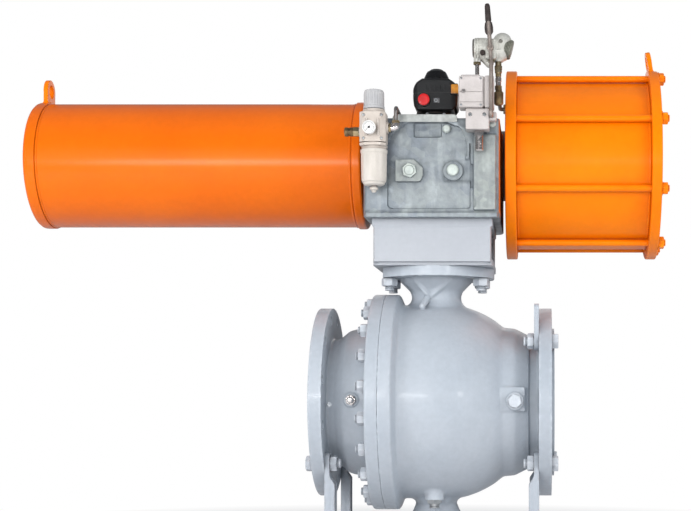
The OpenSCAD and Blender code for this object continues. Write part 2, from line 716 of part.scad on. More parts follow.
module gauge_needle() color(black) union() {
  ycyl(2.5, -285.6, -283.4, gauge_x, gauge_z, 32);
  translate([gauge_x, -285, gauge_z]) rotate([0, 45, 0]) box([-0.7, 0, -14], [0.7, 0.9, 5]);
}

// ---- solenoid and hand valve ---------------------------------------------------------
button_x = 82;
button_z = 760;
valve_y = -195;               // axis of the hand valve
riser_x = 166;                // line from the hand valve down to the cylinder
feed_x = 114;                 // line from the solenoid up to the hand valve
feed_y = -200;
lever_x = 147;                // pivot of the hand lever
lever_z = 868;
module solenoid_valve() color(beige) difference() {
  union() {
    box([68, -240, 718], [130, -188, 800]);           // body
    box([74, -234, 800], [122, -194, 806]);           // step on top
    box([129, -234, 724], [135, -194, 796]);          // step on the right
    box([134, -238, 718], [156, -190, 804]);          // block on the right
    box([87, -232, 668], [144, case_front, 718.5]);   // manifold
    box([143, -226, 690], [162, -196, 712]);          // manifold side block
  }
  ycyl(4.05, -241, -230, button_x, button_z, 32);
}
module override_button() color([0.75, 0.10, 0.08]) ycyl(4, -244, -234, button_x, button_z, 32);
module manual_valve() color([0.78, 0.79, 0.78]) difference() {
  union() {
    xcyl(25, 108, 140, valve_y, 874, 64);
    xcyl(19, 103, 109, valve_y, 874, 64);
    xcyl(27, 156, 194, valve_y, 881, 64);
    xcyl(20, 193, 200, valve_y, 881, 64);
    box([136, -221, 844], [160, -174, 892]);
    zcyl(8.5, 803, 856, riser_x, valve_y);
    zcyl(8, 836, 850, feed_x, feed_y);
  }
  ycyl(6.05, -222, -200, lever_x, lever_z, 48);
}
module hand_lever() color(black) union() {
  ycyl(6, -234, -202, lever_x, lever_z, 48);
  ycyl(8, -234, -223, lever_x, lever_z, 48);
  translate([lever_x, -230, lever_z]) rotate([0, -4, 0]) {
    box([-5.5, -4, 0], [5.5, 4, 98]);
    zcyl(7.5, 62, 82);
    zcyl(6.5, 84, 108);
  }
}

// ---- air lines ------------------------------------------------------------------------
// straight lengths joined by balls, following a list of corners
module pipe(corners, r = 5) for (i = [0 : len(corners) - 2]) {
  run = corners[i + 1] - corners[i];
  length = norm(run);
  translate(corners[i]) rotate([0, acos(run[2] / length), atan2(run[1], run[0])])
    cylinder(r = r, h = length, $fn = 32);
  if (i > 0) translate(corners[i]) sphere(r = r, $fn = 32);
}
module air_tubing() color([0.70, 0.68, 0.66]) {
  // regulator outlet to the solenoid manifold, passing behind the cover
  pipe([[outlet_x, reg_y, 684], [outlet_x, reg_y, 722], [outlet_x, 100, 722],
    [112, 100, 722], [112, -160, 722], [112, -160, 711], [112, -182.9, 711]]);
  // solenoid to hand valve
  pipe([[feed_x, feed_y, 806], [feed_x, feed_y, 836]]);
  // hand valve to the cylinder
  pipe([[riser_x, valve_y, 771], [riser_x, valve_y, port_z], [riser_x, port_y, port_z],
    [174, port_y, port_z]]);
  // exhaust of the hand valve to the manifold, in front of the solenoid
  pipe([[150, -206, 843.9], [150, -206, 832], [150, -244, 832], [150, -244, 701],
    [150, -226.1, 701]]);
}
module tube_fittings() color(brass) {
  // elbow at the regulator outlet
  xcyl(8.9, reg_x + 20, reg_x + 40, reg_y, outlet_z, 48);
  box([reg_x + 40, reg_y - 10, 662], [reg_x + 64, reg_y + 10, 680]);
  difference() {
    zcyl(9, 680, 690, outlet_x, reg_y, 6);
    zcyl(5.05, 684, 691, outlet_x, reg_y, 32);
  }
  // supply fitting at the regulator inlet
  xcyl(8.9, reg_x - 36, reg_x - 20, reg_y, inlet_z, 48);
  xcyl(12, reg_x - 50, reg_x - 36, reg_y, inlet_z, 6);
  difference() {
    xcyl(11, reg_x - 72, reg_x - 50, reg_y, inlet_z, 48);
    xcyl(6.6, reg_x - 73, reg_x - 56, reg_y, inlet_z, 48);
  }
  // exhaust silencer under the manifold
  zcyl(12, 655, 668, 119, -208, 6);
  zcyl(11, 618, 655, 119, -208);
  // riser fitting between hand valve and tube
  zcyl(9.6, 771, 803, riser_x, valve_y, 6);
  // port fitting of the inner plate and its nut
  xring(7.9, 4, 174, 190, port_y, port_z, 48, 48);
  xring(13, 7.95, 173.9, 180.9, port_y, port_z, 6, 48);
}

valve_body();
closure();
ball();
stem();
bushes();
o_rings();
gland_plate();
lower_trunnion();
trunnion_cap();
seat_ring_left();
seat_ring_right();
seat_inserts();
closure_studs();
closure_nuts();
grease_fitting();
vent_plug();
drain_plug();
bracket();
bracket_bolts();
stem_coupling();
support_legs();
leg_bolts();
cap_screws();
yoke_housing();
housing_cover();
yoke();
guide_block();
yoke_pin();
slider_blocks();
guide_bar();
piston_rod();
piston();
piston_seal();
cylinder_barrel();
inner_plate();
outer_plate();
tie_rods();
tie_rod_nuts();
spring_can();
can_end_cap();
can_flange();
spring();
spring_plate();
stop_bolts();
lifting_eyes();
switch_box();
beacon_dome();
beacon();
switch_bracket();
filter_regulator();
regulator_knob();
filter_bowl();
gauge();
gauge_needle();
solenoid_valve();
override_button();
manual_valve();
hand_lever();
air_tubing();
tube_fittings();
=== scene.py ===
import bpy
import math

import bmesh
import numpy as np
from mathutils import Matrix, Vector


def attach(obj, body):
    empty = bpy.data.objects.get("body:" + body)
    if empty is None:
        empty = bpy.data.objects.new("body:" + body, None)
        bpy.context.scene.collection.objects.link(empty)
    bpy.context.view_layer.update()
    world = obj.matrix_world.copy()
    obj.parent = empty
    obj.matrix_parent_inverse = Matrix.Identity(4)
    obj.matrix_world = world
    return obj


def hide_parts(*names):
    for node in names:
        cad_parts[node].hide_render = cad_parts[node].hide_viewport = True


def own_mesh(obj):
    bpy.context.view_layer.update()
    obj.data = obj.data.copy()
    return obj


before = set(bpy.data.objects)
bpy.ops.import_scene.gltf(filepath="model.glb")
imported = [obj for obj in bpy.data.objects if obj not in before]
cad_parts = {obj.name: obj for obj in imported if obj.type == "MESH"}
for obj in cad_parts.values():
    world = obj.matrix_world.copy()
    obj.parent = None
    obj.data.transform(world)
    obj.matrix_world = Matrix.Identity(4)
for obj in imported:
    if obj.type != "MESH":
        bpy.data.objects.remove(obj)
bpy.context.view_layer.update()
MM = 0.001
F = np.float32

# ---------------------------------------------------------------- distance fields (mm)
# A field takes three arrays x, y, z and returns the signed distance, negative inside.


def poly_dist(pts, a, b):
    """Signed distance from points (a, b) to a closed polygon."""
    pts = np.asarray(pts, float)
    n = len(pts)
    d = np.full(a.shape, 1e12)
    inside = np.zeros(a.shape, bool)
    for i in range(n):
        p, q = pts[i], pts[(i + 1) % n]
        e = q - p
        l2 = float(e @ e)
        if l2 < 1e-12:
            continue
        wa, wb = a - p[0], b - p[1]
        t = np.clip((wa * e[0] + wb * e[1]) / l2, 0, 1)
        d = np.minimum(d, (wa - e[0] * t) ** 2 + (wb - e[1] * t) ** 2)
        if abs(e[1]) > 1e-12:
            cross = (p[1] <= b) != (q[1] <= b)
            at = p[0] + (b - p[1]) / e[1] * e[0]
            inside ^= cross & (a < at)
    return np.where(inside, -1.0, 1.0) * np.sqrt(d)


class Table:
    """A polygon's distance field on a grid, looked up with bilinear interpolation."""

    def __init__(s, pts, step=0.5, margin=26.0):
        pts = np.asarray(pts, float)
        step = step
        s.lo = pts.min(0) - margin
        s.n = np.ceil((pts.max(0) + margin - s.lo) / step).astype(int) + 1
        s.step = step
        a, b = np.meshgrid(s.lo[0] + np.arange(s.n[0]) * step, s.lo[1] + np.arange(s.n[1]) * step, indexing="ij")
        s.t = poly_dist(pts, a, b).astype(F)

    def __call__(s, a, b):
        u0, v0 = (a - F(s.lo[0])) / F(s.step), (b - F(s.lo[1])) / F(s.step)
        u = np.clip(u0, 0, s.n[0] - 1.001)
        v = np.clip(v0, 0, s.n[1] - 1.001)
        far = hyp(u0 - u, v0 - v) * F(s.step)
        i, j = u.astype(np.int32), v.astype(np.int32)
        u, v = u - i, v - j
        t = s.t
        k = i * t.shape[1] + j
        tf = t.ravel()
        return (tf[k] * (1 - u) + tf[k + t.shape[1]] * u) * (1 - v) + (tf[k + 1] * (1 - u) + tf[k + t.shape[1] + 1] * u) * v + far


def hyp(a, b):
    return np.sqrt(a * a + b * b)


def s_box(p, lo, hi, r=0.0):
    q = [np.abs(p[i] - F((lo[i] + hi[i]) / 2)) - F((hi[i] - lo[i]) / 2 - r) for i in range(3)]
    out = np.sqrt(sum(np.maximum(c, 0) ** 2 for c in q))
    return out + np.minimum(np.maximum(np.maximum(q[0], q[1]), q[2]), 0) - F(r)


def s_cyl(p, ax, c, r, a0, a1, rd=0.0):
    """Capped cylinder along axis ax through centre c (the two other coordinates), edge rounding rd."""
    o = [i for i in range(3) if i != ax]
    d0 = hyp(p[o[0]] - F(c[0]), p[o[1]] - F(c[1])) - F(r - rd)
    d1 = np.abs(p[ax] - F((a0 + a1) / 2)) - F(abs(a1 - a0) / 2 - rd)
    return np.minimum(np.maximum(d0, d1), 0) + hyp(np.maximum(d0, 0), np.maximum(d1, 0)) - F(rd)


def s_rev(p, table, ax, c=(0, 0)):
    o = [i for i in range(3) if i != ax]
    return table(hyp(p[o[0]] - F(c[0]), p[o[1]] - F(c[1])), p[ax])


def s_sph(p, c, r):
    return np.sqrt((p[0] - F(c[0])) ** 2 + (p[1] - F(c[1])) ** 2 + (p[2] - F(c[2])) ** 2) - F(r)


def s_cap(p, a, b, r):
    """Rod with round ends from a to b."""
    a, b = np.asarray(a, float), np.asarray(b, float)
    e = b - a
    w = [p[i] - F(a[i]) for i in range(3)]
    t = np.clip(sum(w[i] * F(e[i]) for i in range(3)) / F(e @ e), 0, 1)
    return np.sqrt(sum((w[i] - F(e[i]) * t) ** 2 for i in range(3))) - F(r)


def s_ext(p, table, ax, a0, a1):
    """A polygon table over the two other axes, extruded along ax."""
    o = [i for i in range(3) if i != ax]
    d0 = table(p[o[0]], p[o[1]])
    d1 = np.abs(p[ax] - F((a0 + a1) / 2)) - F(abs(a1 - a0) / 2)
    return np.minimum(np.maximum(d0, d1), 0) + hyp(np.maximum(d0, 0), np.maximum(d1, 0))


def s_hex(p, ax, c, r, a0, a1, turn=0.0):
    """Hexagonal prism with corner radius r and chamfered corners."""
    o = [i for i in range(3) if i != ax]
    u, v = p[o[0]] - F(c[0]), p[o[1]] - F(c[1])
    f = r * math.cos(math.pi / 6)
    d = None
    for i in range(3):
        a = turn + math.pi / 3 * i + math.pi / 6
        e = np.abs(u * F(math.cos(a)) + v * F(math.sin(a))) - F(f)
        d = e if d is None else np.maximum(d, e)
    rad = hyp(u, v)
    mid, h = (a0 + a1) / 2, abs(a1 - a0) / 2
    k = np.abs(p[ax] - F(mid))
    return np.maximum(np.maximum(d, k - F(h)), (rad - F(f * 0.96)) * F(0.5) + (k - F(h)) * F(0.866))


def ru(a, b, r):
    """Union with a fillet of radius r."""
    return np.maximum(F(r), np.minimum(a, b)) - hyp(np.maximum(F(r) - a, 0), np.maximum(F(r) - b, 0))


def ri(a, b, r):
    """Intersection with a rounded edge of radius r."""
    return np.minimum(F(-r), np.maximum(a, b)) + hyp(np.maximum(F(r) + a, 0), np.maximum(F(r) + b, 0))


def rc(a, b, r):
    return ri(a, -b, r)


def U(*d):
    return np.minimum.reduce(d)


def ring(n, r, a0=0.0):
    return [(r * math.cos(math.radians(a0 + 360 * i / n)), r * math.sin(math.radians(a0 + 360 * i / n))) for i in range(n)]


def fold(p, ax, n, a0, c=(0, 0)):
    """Polar repeat: turns each point about ax so that one of n copies at angle a0 + k*360/n lies along the first other axis."""
    o = [i for i in range(3) if i != ax]
    u, v = p[o[0]] - F(c[0]), p[o[1]] - F(c[1])
    step = 2 * math.pi / n
    ang = np.arctan2(v, u) - F(math.radians(a0))
    ang = ang - np.round(ang / F(step)) * F(step)
    rad = hyp(u, v)
    q = [None, None, None]
    q[ax] = p[ax]
    q[o[0]], q[o[1]] = rad * np.cos(ang), rad * np.sin(ang)
    return q


def contour(f, lo, hi, h, B=8):
    """Dual contouring of a field: returns vertices (mm) and quads, with crisp edges kept."""
    lo = np.asarray(lo, float) - 1.37 * h
    hi = np.asarray(hi, float) + 1.37 * h
    nb = np.maximum(1, np.ceil((hi - lo) / (h * B)).astype(int))
    idx = np.stack(np.meshgrid(*[np.arange(n) for n in nb], indexing="ij"), -1).reshape(-1, 3)

    def ev(q):
        out = np.empty(len(q), F)
        for s in range(0, len(q), 400000):
            c = q[s:s + 400000].astype(F)
            out[s:s + 400000] = f([np.ascontiguousarray(c[:, 0]), np.ascontiguousarray(c[:, 1]), np.ascontiguousarray(c[:, 2])])
        return out

    d = ev(lo + (idx + 0.5) * B * h)
    idx = idx[np.abs(d) < 0.5 * math.sqrt(3) * B * h + h]
    g = np.arange(B + 1)
    G = np.stack(np.meshgrid(g, g, g, indexing="ij"), -1).reshape(-1, 3)
    vals = []
    for s in range(0, len(idx), 500):
        c = idx[s:s + 500]
        vals.append(ev((lo + (c[:, None, :] * B + G[None]) * h).reshape(-1, 3)).reshape(-1, B + 1, B + 1, B + 1))
    vals = np.concatenate(vals)
    og, ax_, va_, vb_ = [], [], [], []
    for ax in range(3):
        s0 = [slice(None)] + [slice(0, B)] * 3
        s1 = list(s0)
        s1[1 + ax] = slice(1, B + 1)
        a, b = vals[tuple(s0)], vals[tuple(s1)]
        m, i, j, k = np.nonzero((a < 0) != (b < 0))
        og.append(idx[m] * B + np.stack([i, j, k], -1))
        ax_.append(np.full(len(m), ax))
        va_.append(a[m, i, j, k])
        vb_.append(b[m, i, j, k])
    og, ax_, va, vb = np.concatenate(og), np.concatenate(ax_), np.concatenate(va_).astype(float), np.concatenate(vb_).astype(float)
    inside_first = va < 0
    P0 = lo + og * h
    E = np.eye(3)[ax_]
    ta, tb = np.zeros(len(va)), np.ones(len(va))
    t = va / (va - vb)
    for _ in range(2):
        vm = ev(P0 + E * (t * h)[:, None]).astype(float)
        same = (vm < 0) == (va < 0)
        ta, va = np.where(same, t, ta), np.where(same, vm, va)
        tb, vb = np.where(same, tb, t), np.where(same, vb, vm)
        den = va - vb
        t = ta + (tb - ta) * np.where(np.abs(den) > 1e-9, va / np.where(np.abs(den) > 1e-9, den, 1), 0.5)
    P = P0 + E * (t * h)[:, None]
    eps = 0.12
    N = np.zeros_like(P)
    for k in ((1, -1, -1), (-1, -1, 1), (-1, 1, -1), (1, 1, 1)):
        k = np.array(k, float)
        N += k * ev(P + k * eps)[:, None]
    N /= np.maximum(np.linalg.norm(N, axis=1, keepdims=True), 1e-9)
    eb, ec = np.eye(3, dtype=int)[(ax_ + 1) % 3], np.eye(3, dtype=int)[(ax_ + 2) % 3]
    cells = np.stack([og, og - eb, og - eb - ec, og - ec], 1) + 1
    dim = nb * B + 3
    key = (cells[..., 0] * dim[1] + cells[..., 1]) * dim[2] + cells[..., 2]
    uq, inv = np.unique(key.ravel(), return_inverse=True)
    inv = inv.reshape(-1)
    n = len(uq)
    P4, N4 = np.repeat(P, 4, 0), np.repeat(N, 4, 0)
    cnt = np.bincount(inv, minlength=n)
    mp = np.stack([np.bincount(inv, P4[:, i], n) for i in range(3)], 1) / cnt[:, None]
    q = P4 - mp[inv]
    bb = (N4 * q).sum(1)
    A = np.zeros((n, 3, 3))
    for i in range(3):
        for j in range(i, 3):
            A[:, i, j] = A[:, j, i] = np.bincount(inv, N4[:, i] * N4[:, j], n)
    A += np.eye(3) * 0.03
    R = np.stack([np.bincount(inv, N4[:, i] * bb, n) for i in range(3)], 1)
    X = np.linalg.solve(A, R[..., None])[..., 0]
    V = mp + X
    ck = np.stack([uq // (dim[1] * dim[2]), (uq // dim[2]) % dim[1], uq % dim[2]], 1) - 1
    mid = lo + (ck + 0.5) * h
    V = np.clip(V, mid - 0.55 * h, mid + 0.55 * h)
    quads = inv.reshape(-1, 4)
    quads = np.where(inside_first[:, None], quads, quads[:, ::-1])
    return V, quads


# ---------------------------------------------------------------- mesh helpers (mm)


def fil(pts, n=4):
    """Polygon with optional third value as a corner radius."""
    out = []
    m = len(pts)
    for i in range(m):
        p = np.array(pts[i][:2], float)
        r = pts[i][2] if len(pts[i]) > 2 else 0
        if not r:
            out.append(tuple(p))
            continue
        a, b = np.array(pts[i - 1][:2], float), np.array(pts[(i + 1) % m][:2], float)
        u, v = (a - p) / np.linalg.norm(a - p), (b - p) / np.linalg.norm(b - p)
        ang = math.acos(np.clip(u @ v, -1, 1))
        t = min(r / math.tan(ang / 2), 0.49 * np.linalg.norm(a - p), 0.49 * np.linalg.norm(b - p))
        r = t * math.tan(ang / 2)
        bis = (u + v) / np.linalg.norm(u + v)
        c = p + bis * r / math.sin(ang / 2)
        s, e = p + u * t, p + v * t
        a0 = math.atan2(*(s - c)[::-1])
        a1 = math.atan2(*(e - c)[::-1])
        dlt = (a1 - a0 + math.pi) % (2 * math.pi) - math.pi
        for k in range(n + 1):
            w = a0 + dlt * k / n
            out.append((c[0] + r * math.cos(w), c[1] + r * math.sin(w)))
    return out


def place(u, v, w, ax):
    """Local (radial u, radial v, along w) to x, y, z with w on axis ax."""
    return {0: (w, u, v), 1: (v, w, u), 2: (u, v, w)}[ax]


def volume(v, f):
    """Signed volume of a closed shell."""
    if isinstance(f, np.ndarray):
        a = v[f]
        c = a[:, 0]
        return float(sum(np.einsum("ij,ij->i", c, np.cross(a[:, k], a[:, k + 1])).sum() for k in range(1, f.shape[1] - 1)))
    tri = np.array([(q[0], q[k], q[k + 1]) for q in f for k in range(1, len(q) - 1)])
    o = v - v.mean(0)
    return float(np.einsum("ij,ij->i", o[tri[:, 0]], np.cross(o[tri[:, 1]], o[tri[:, 2]])).sum())


class Mesh:
    """Gathers shells into one mesh with material numbers."""

    def __init__(s):
        s.v, s.f, s.m, s.n = [], [], [], 0

    def add(s, v, f, m=0):
        v = np.asarray(v, float).reshape(-1, 3)
        s.v.append(v)
        if volume(v, f) < 0:
            f = f[:, ::-1] if isinstance(f, np.ndarray) else [list(q)[::-1] for q in f]
        if isinstance(f, np.ndarray):
            s.f += (f + s.n).tolist()
            s.m += [m] * len(f)
        else:
            s.f += [[i + s.n for i in q] for q in f]
            s.m += [m] * len(f)
        s.n += len(v)
        return s

    def field(s, f, lo, hi, h, m=0):
        v, q = contour(f, lo, hi, h)
        return s.add(v, q, m)

    def lathe(s, pts, ax=0, c=(0, 0), seg=160, m=0, arc=None):
        """Turned solid: pts is a closed loop of (radius, position along the axis[, corner radius])."""
        pts = fil(pts, 5)
        ar = sum(pts[i][0] * pts[(i + 1) % len(pts)][1] - pts[(i + 1) % len(pts)][0] * pts[i][1] for i in range(len(pts)))
        if ar < 0:
            pts = pts[::-1]
        verts, rows = [], []
        for r, w in pts:
            if r < 1e-6:
                rows.append([len(verts)] * seg)
                verts.append(place(0, 0, w, ax))
            else:
                rows.append(list(range(len(verts), len(verts) + seg)))
                for k in range(seg):
                    a = 2 * math.pi * k / seg
                    verts.append(place(r * math.cos(a), r * math.sin(a), w, ax))
        faces = []
        for i in range(len(pts)):
            A, Bq = rows[i], rows[(i + 1) % len(pts)]
            if A[0] == A[-1] and Bq[0] == Bq[-1]:
                continue
            for k in range(seg):
                l = (k + 1) % seg
                q = [A[k], A[l], Bq[l], Bq[k]]
                q = [x for j, x in enumerate(q) if x != q[j - 1]]
                if len(q) > 2:
                    faces.append(q[::-1])
        v = np.array(verts)
        v += np.array(place(c[0], c[1], 0, ax)) if ax != 1 else np.array((c[0], 0, c[1]))
        return s.add(v, faces, m)

    def prism(s, pts, ax, a0, a1, r=0.0, m=0, seg=2):
        """Extruded polygon (x/y/z order of the two other axes) with bevelled edges."""
        bm = bmesh.new()
        o = [i for i in range(3) if i != ax]
        vs = []
        for a in (a0, a1):
            ring_ = []
            for p in pts:
                co = [0, 0, 0]
                co[ax], co[o[0]], co[o[1]] = a, p[0], p[1]
                ring_.append(bm.verts.new(co))
            vs.append(ring_)
        n = len(pts)
        bm.faces.new(vs[0])
        bm.faces.new(vs[1][::-1])
        for i in range(n):
            bm.faces.new([vs[0][i], vs[1][i], vs[1][(i + 1) % n], vs[0][(i + 1) % n]])
        bmesh.ops.recalc_face_normals(bm, faces=bm.faces)
        if r:
            es = [e for e in bm.edges if e.calc_face_angle(0) > math.radians(20)]
            bmesh.ops.bevel(bm, geom=es, offset=r, offset_type="OFFSET", segments=seg, profile=0.6, affect="EDGES", clamp_overlap=True)
        return s.take(bm, m)

    def box(s, lo, hi, r=1.0, m=0, seg=2):
        return s.prism([(lo[0], lo[1]), (hi[0], lo[1]), (hi[0], hi[1]), (lo[0], hi[1])], 2, lo[2], hi[2], r, m, seg)

    def take(s, bm, m=0, mat=None):
        bm.verts.ensure_lookup_table()
        v = np.array([tuple(x.co) for x in bm.verts])
        if mat is not None:
            v = v @ np.array(mat)[:3, :3].T + np.array(mat)[:3, 3]
        bm.verts.index_update()
        f = [[x.index for x in q.verts] for q in bm.faces]
        bm.free()
        return s.add(v, f, m)

    def join(s, other, mat=None, m=None):
        """Adds a copy of another Mesh, moved by a 4x4 matrix."""
        v = np.concatenate(other.v)
        if mat is not None:
            a = np.array(mat, float)
            v = v @ a[:3, :3].T + a[:3, 3]
        s.v.append(v)
        s.f += [[i + s.n for i in q] for q in other.f]
        s.m += other.m if m is None else [m] * len(other.m)
        s.n += len(v)
        return s

    def tube(s, path, r, bend=12.0, seg=20, m=0, cap=True, prof=None):
        """Round tube along a list of corners, each corner bent at a radius."""
        P = [np.array(p, float) for p in path]
        line = [P[0]]
        for i in range(1, len(P) - 1):
            u, v = P[i - 1] - P[i], P[i + 1] - P[i]
            lu, lv = np.linalg.norm(u), np.linalg.norm(v)
            u, v = u / lu, v / lv
            ang = math.acos(np.clip(u @ v, -1, 1))
            if ang > math.pi - 0.02:
                line.append(P[i])
                continue
            t = min(bend / math.tan(ang / 2), 0.49 * lu, 0.49 * lv)
            rr = t * math.tan(ang / 2)
            bis = (u + v) / np.linalg.norm(u + v)
            c = P[i] + bis * rr / math.sin(ang / 2)
            a, b = P[i] + u * t - c, P[i] + v * t - c
            w = math.pi - ang
            k = 7
            for j in range(k + 1):
                q = j / k
                line.append(c + (math.sin((1 - q) * w) * a + math.sin(q * w) * b) / math.sin(w))
        line.append(P[-1])
        return s.sweep(line, r, seg, m)

    def sweep(s, line, r, seg=20, m=0, closed=False):
        line = [np.array(p, float) for p in line]
        n = len(line)
        rs = r if hasattr(r, "__len__") else [r] * n
        T = []
        for i in range(n):
            if closed:
                t = line[(i + 1) % n] - line[i - 1]
            else:
                t = line[min(i + 1, n - 1)] - line[max(i - 1, 0)]
            T.append(t / max(np.linalg.norm(t), 1e-9))
        ref = np.array([0, 0, 1.0]) if abs(T[0][2]) < 0.9 else np.array([1.0, 0, 0])
        nrm = np.cross(T[0], ref)
        nrm /= np.linalg.norm(nrm)
        verts, faces = [], []
        for i in range(n):
            nrm = nrm - T[i] * (nrm @ T[i])
            nrm /= np.linalg.norm(nrm)
            b = np.cross(T[i], nrm)
            for k in range(seg):
                a = 2 * math.pi * k / seg
                verts.append(line[i] + (nrm * math.cos(a) + b * math.sin(a)) * rs[i])
        for i in range(n if closed else n - 1):
            j = (i + 1) % n
            for k in range(seg):
                l = (k + 1) % seg
                faces.append([i * seg + k, i * seg + l, j * seg + l, j * seg + k])
        if not closed:
            faces.append(list(range(seg))[::-1])
            faces.append([(n - 1) * seg + k for k in range(seg)])
        return s.add(np.array(verts), faces, m)


def hexnut(r, h, bore=0.0, washer=0.0, dome=0.0):
    """Nut or bolt head along +z from 0 to h: hexagon of corner radius r with cone chamfers."""
    seg = 48
    f = r * math.cos(math.pi / 6)
    M = Mesh()
    verts, rows = [], []

    def R(a):
        b = (a + math.pi / 6) % (math.pi / 3) - math.pi / 6
        return f / math.cos(b)

    def ringv(fr, fz):
        base = len(verts)
        for k in range(seg):
            a = 2 * math.pi * k / seg
            rr, z = fr(a), fz(a)
            verts.append((rr * math.cos(a), rr * math.sin(a), z))
        rows.append(list(range(base, base + seg)))

    rc_ = f * 0.95
    t = math.tan(math.radians(28))
    top = (lambda a: h - max(0, (R(a) - rc_)) * t)
    if bore:
        ringv(lambda a: bore, lambda a: 0)
        ringv(lambda a: bore, lambda a: h - 1.0)
        ringv(lambda a: bore + 1.0, lambda a: h)
    else:
        base = len(verts)
        verts.append((0, 0, 0))
        rows.append([base] * seg)
        base = len(verts)
        verts.append((0, 0, h + dome))
        rows.append([base] * seg)
    ringv(lambda a: rc_ * 0.985, lambda a: h)
    ringv(lambda a: rc_, lambda a: h - 0.05)
    ringv(lambda a: (rc_ + R(a)) / 2, lambda a: h - max(0, ((R(a) - rc_) / 2)) * t)
    ringv(lambda a: R(a) - 0.15, lambda a: top(a) + 0.05)
    ringv(lambda a: R(a), lambda a: top(a) - 0.25)
    if bore:
        ringv(lambda a: R(a), lambda a: max(0, R(a) - rc_) * t + 0.25)
        ringv(lambda a: R(a) - 0.15, lambda a: max(0, R(a) - rc_) * t - 0.05)
        ringv(lambda a: rc_, lambda a: 0)
    else:
        ringv(lambda a: R(a), lambda a: 0.6 if washer else 0.0)
        if washer:
            ringv(lambda a: rc_, lambda a: 0.6)
            ringv(lambda a: rc_, lambda a: 0)
    faces = []
    nr = len(rows)
    for i in range(nr):
        if not bore and i == 0:
            continue
        A, Bq = rows[i], rows[(i + 1) % nr]
        for k in range(seg):
            l = (k + 1) % seg
            q = [A[k], A[l], Bq[l], Bq[k]]
            q = [x for j, x in enumerate(q) if x != q[j - 1]]
            if len(q) > 2:
                faces.append(q[::-1])
    return M.add(np.array(verts), faces)


def thread(r, a0, a1, pitch, lead=1.2):
    """Rod along z with ridges of a thread between a0 and a1, pointed with a chamfer."""
    d = pitch * 0.42
    pts = [(0, a0), (r - 0.1, a0)]
    z = a0
    while z + pitch < a1 - lead:
        pts += [(r - 0.05, z + 0.12 * pitch), (r - d, z + 0.5 * pitch), (r - d, z + 0.6 * pitch), (r - 0.05, z + 0.98 * pitch)]
        z += pitch
    pts += [(r - 0.1, a1 - lead), (r - lead, a1), (0, a1)]
    return pts


def AX(ax, pos, flip=False, turn=0.0):
    """Matrix that stands a z-built shape along axis ax at pos."""
    r = Matrix.Rotation(turn, 4, "Z")
    if flip:
        r = Matrix.Rotation(math.pi, 4, "X") @ r
    b = {0: Matrix.Rotation(math.pi / 2, 4, "Y"), 1: Matrix.Rotation(-math.pi / 2, 4, "X"), 2: Matrix.Identity(4)}[ax]
    return Matrix.Translation(pos) @ b @ r


SHOWN = []


def build(name, M, mats, body, nodes, smooth=35.0, weld=False, wn=True):
    """Makes the object from gathered shells, rides it on its body and hides the nodes it stands for."""
    v = np.concatenate(M.v) * MM
    me = bpy.data.meshes.new(name)
    me.from_pydata(v.tolist(), [], M.f)
    me.polygons.foreach_set("material_index", M.m)
    for x in mats:
        me.materials.append(x)
    me.validate()
    me.update()
    me.polygons.foreach_set("use_smooth", [True] * len(me.polygons))
    me.set_sharp_from_angle(angle=math.radians(smooth))
    ob = bpy.data.objects.new(name, me)
    bpy.context.scene.collection.objects.link(ob)
    if wn:
        w = ob.modifiers.new("normals", "WEIGHTED_NORMAL")
        w.keep_sharp = True
        w.weight = 60
    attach(ob, body)
    if nodes:
        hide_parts(*nodes)
    SHOWN.append(ob)
    return ob
# ---------------------------------------------------------------- materials


def srgb(*c):
    return tuple((x / 255 / 12.92) if x / 255 <= 0.04045 else ((x / 255 + 0.055) / 1.055) ** 2.4 for x in c) + (1.0,)


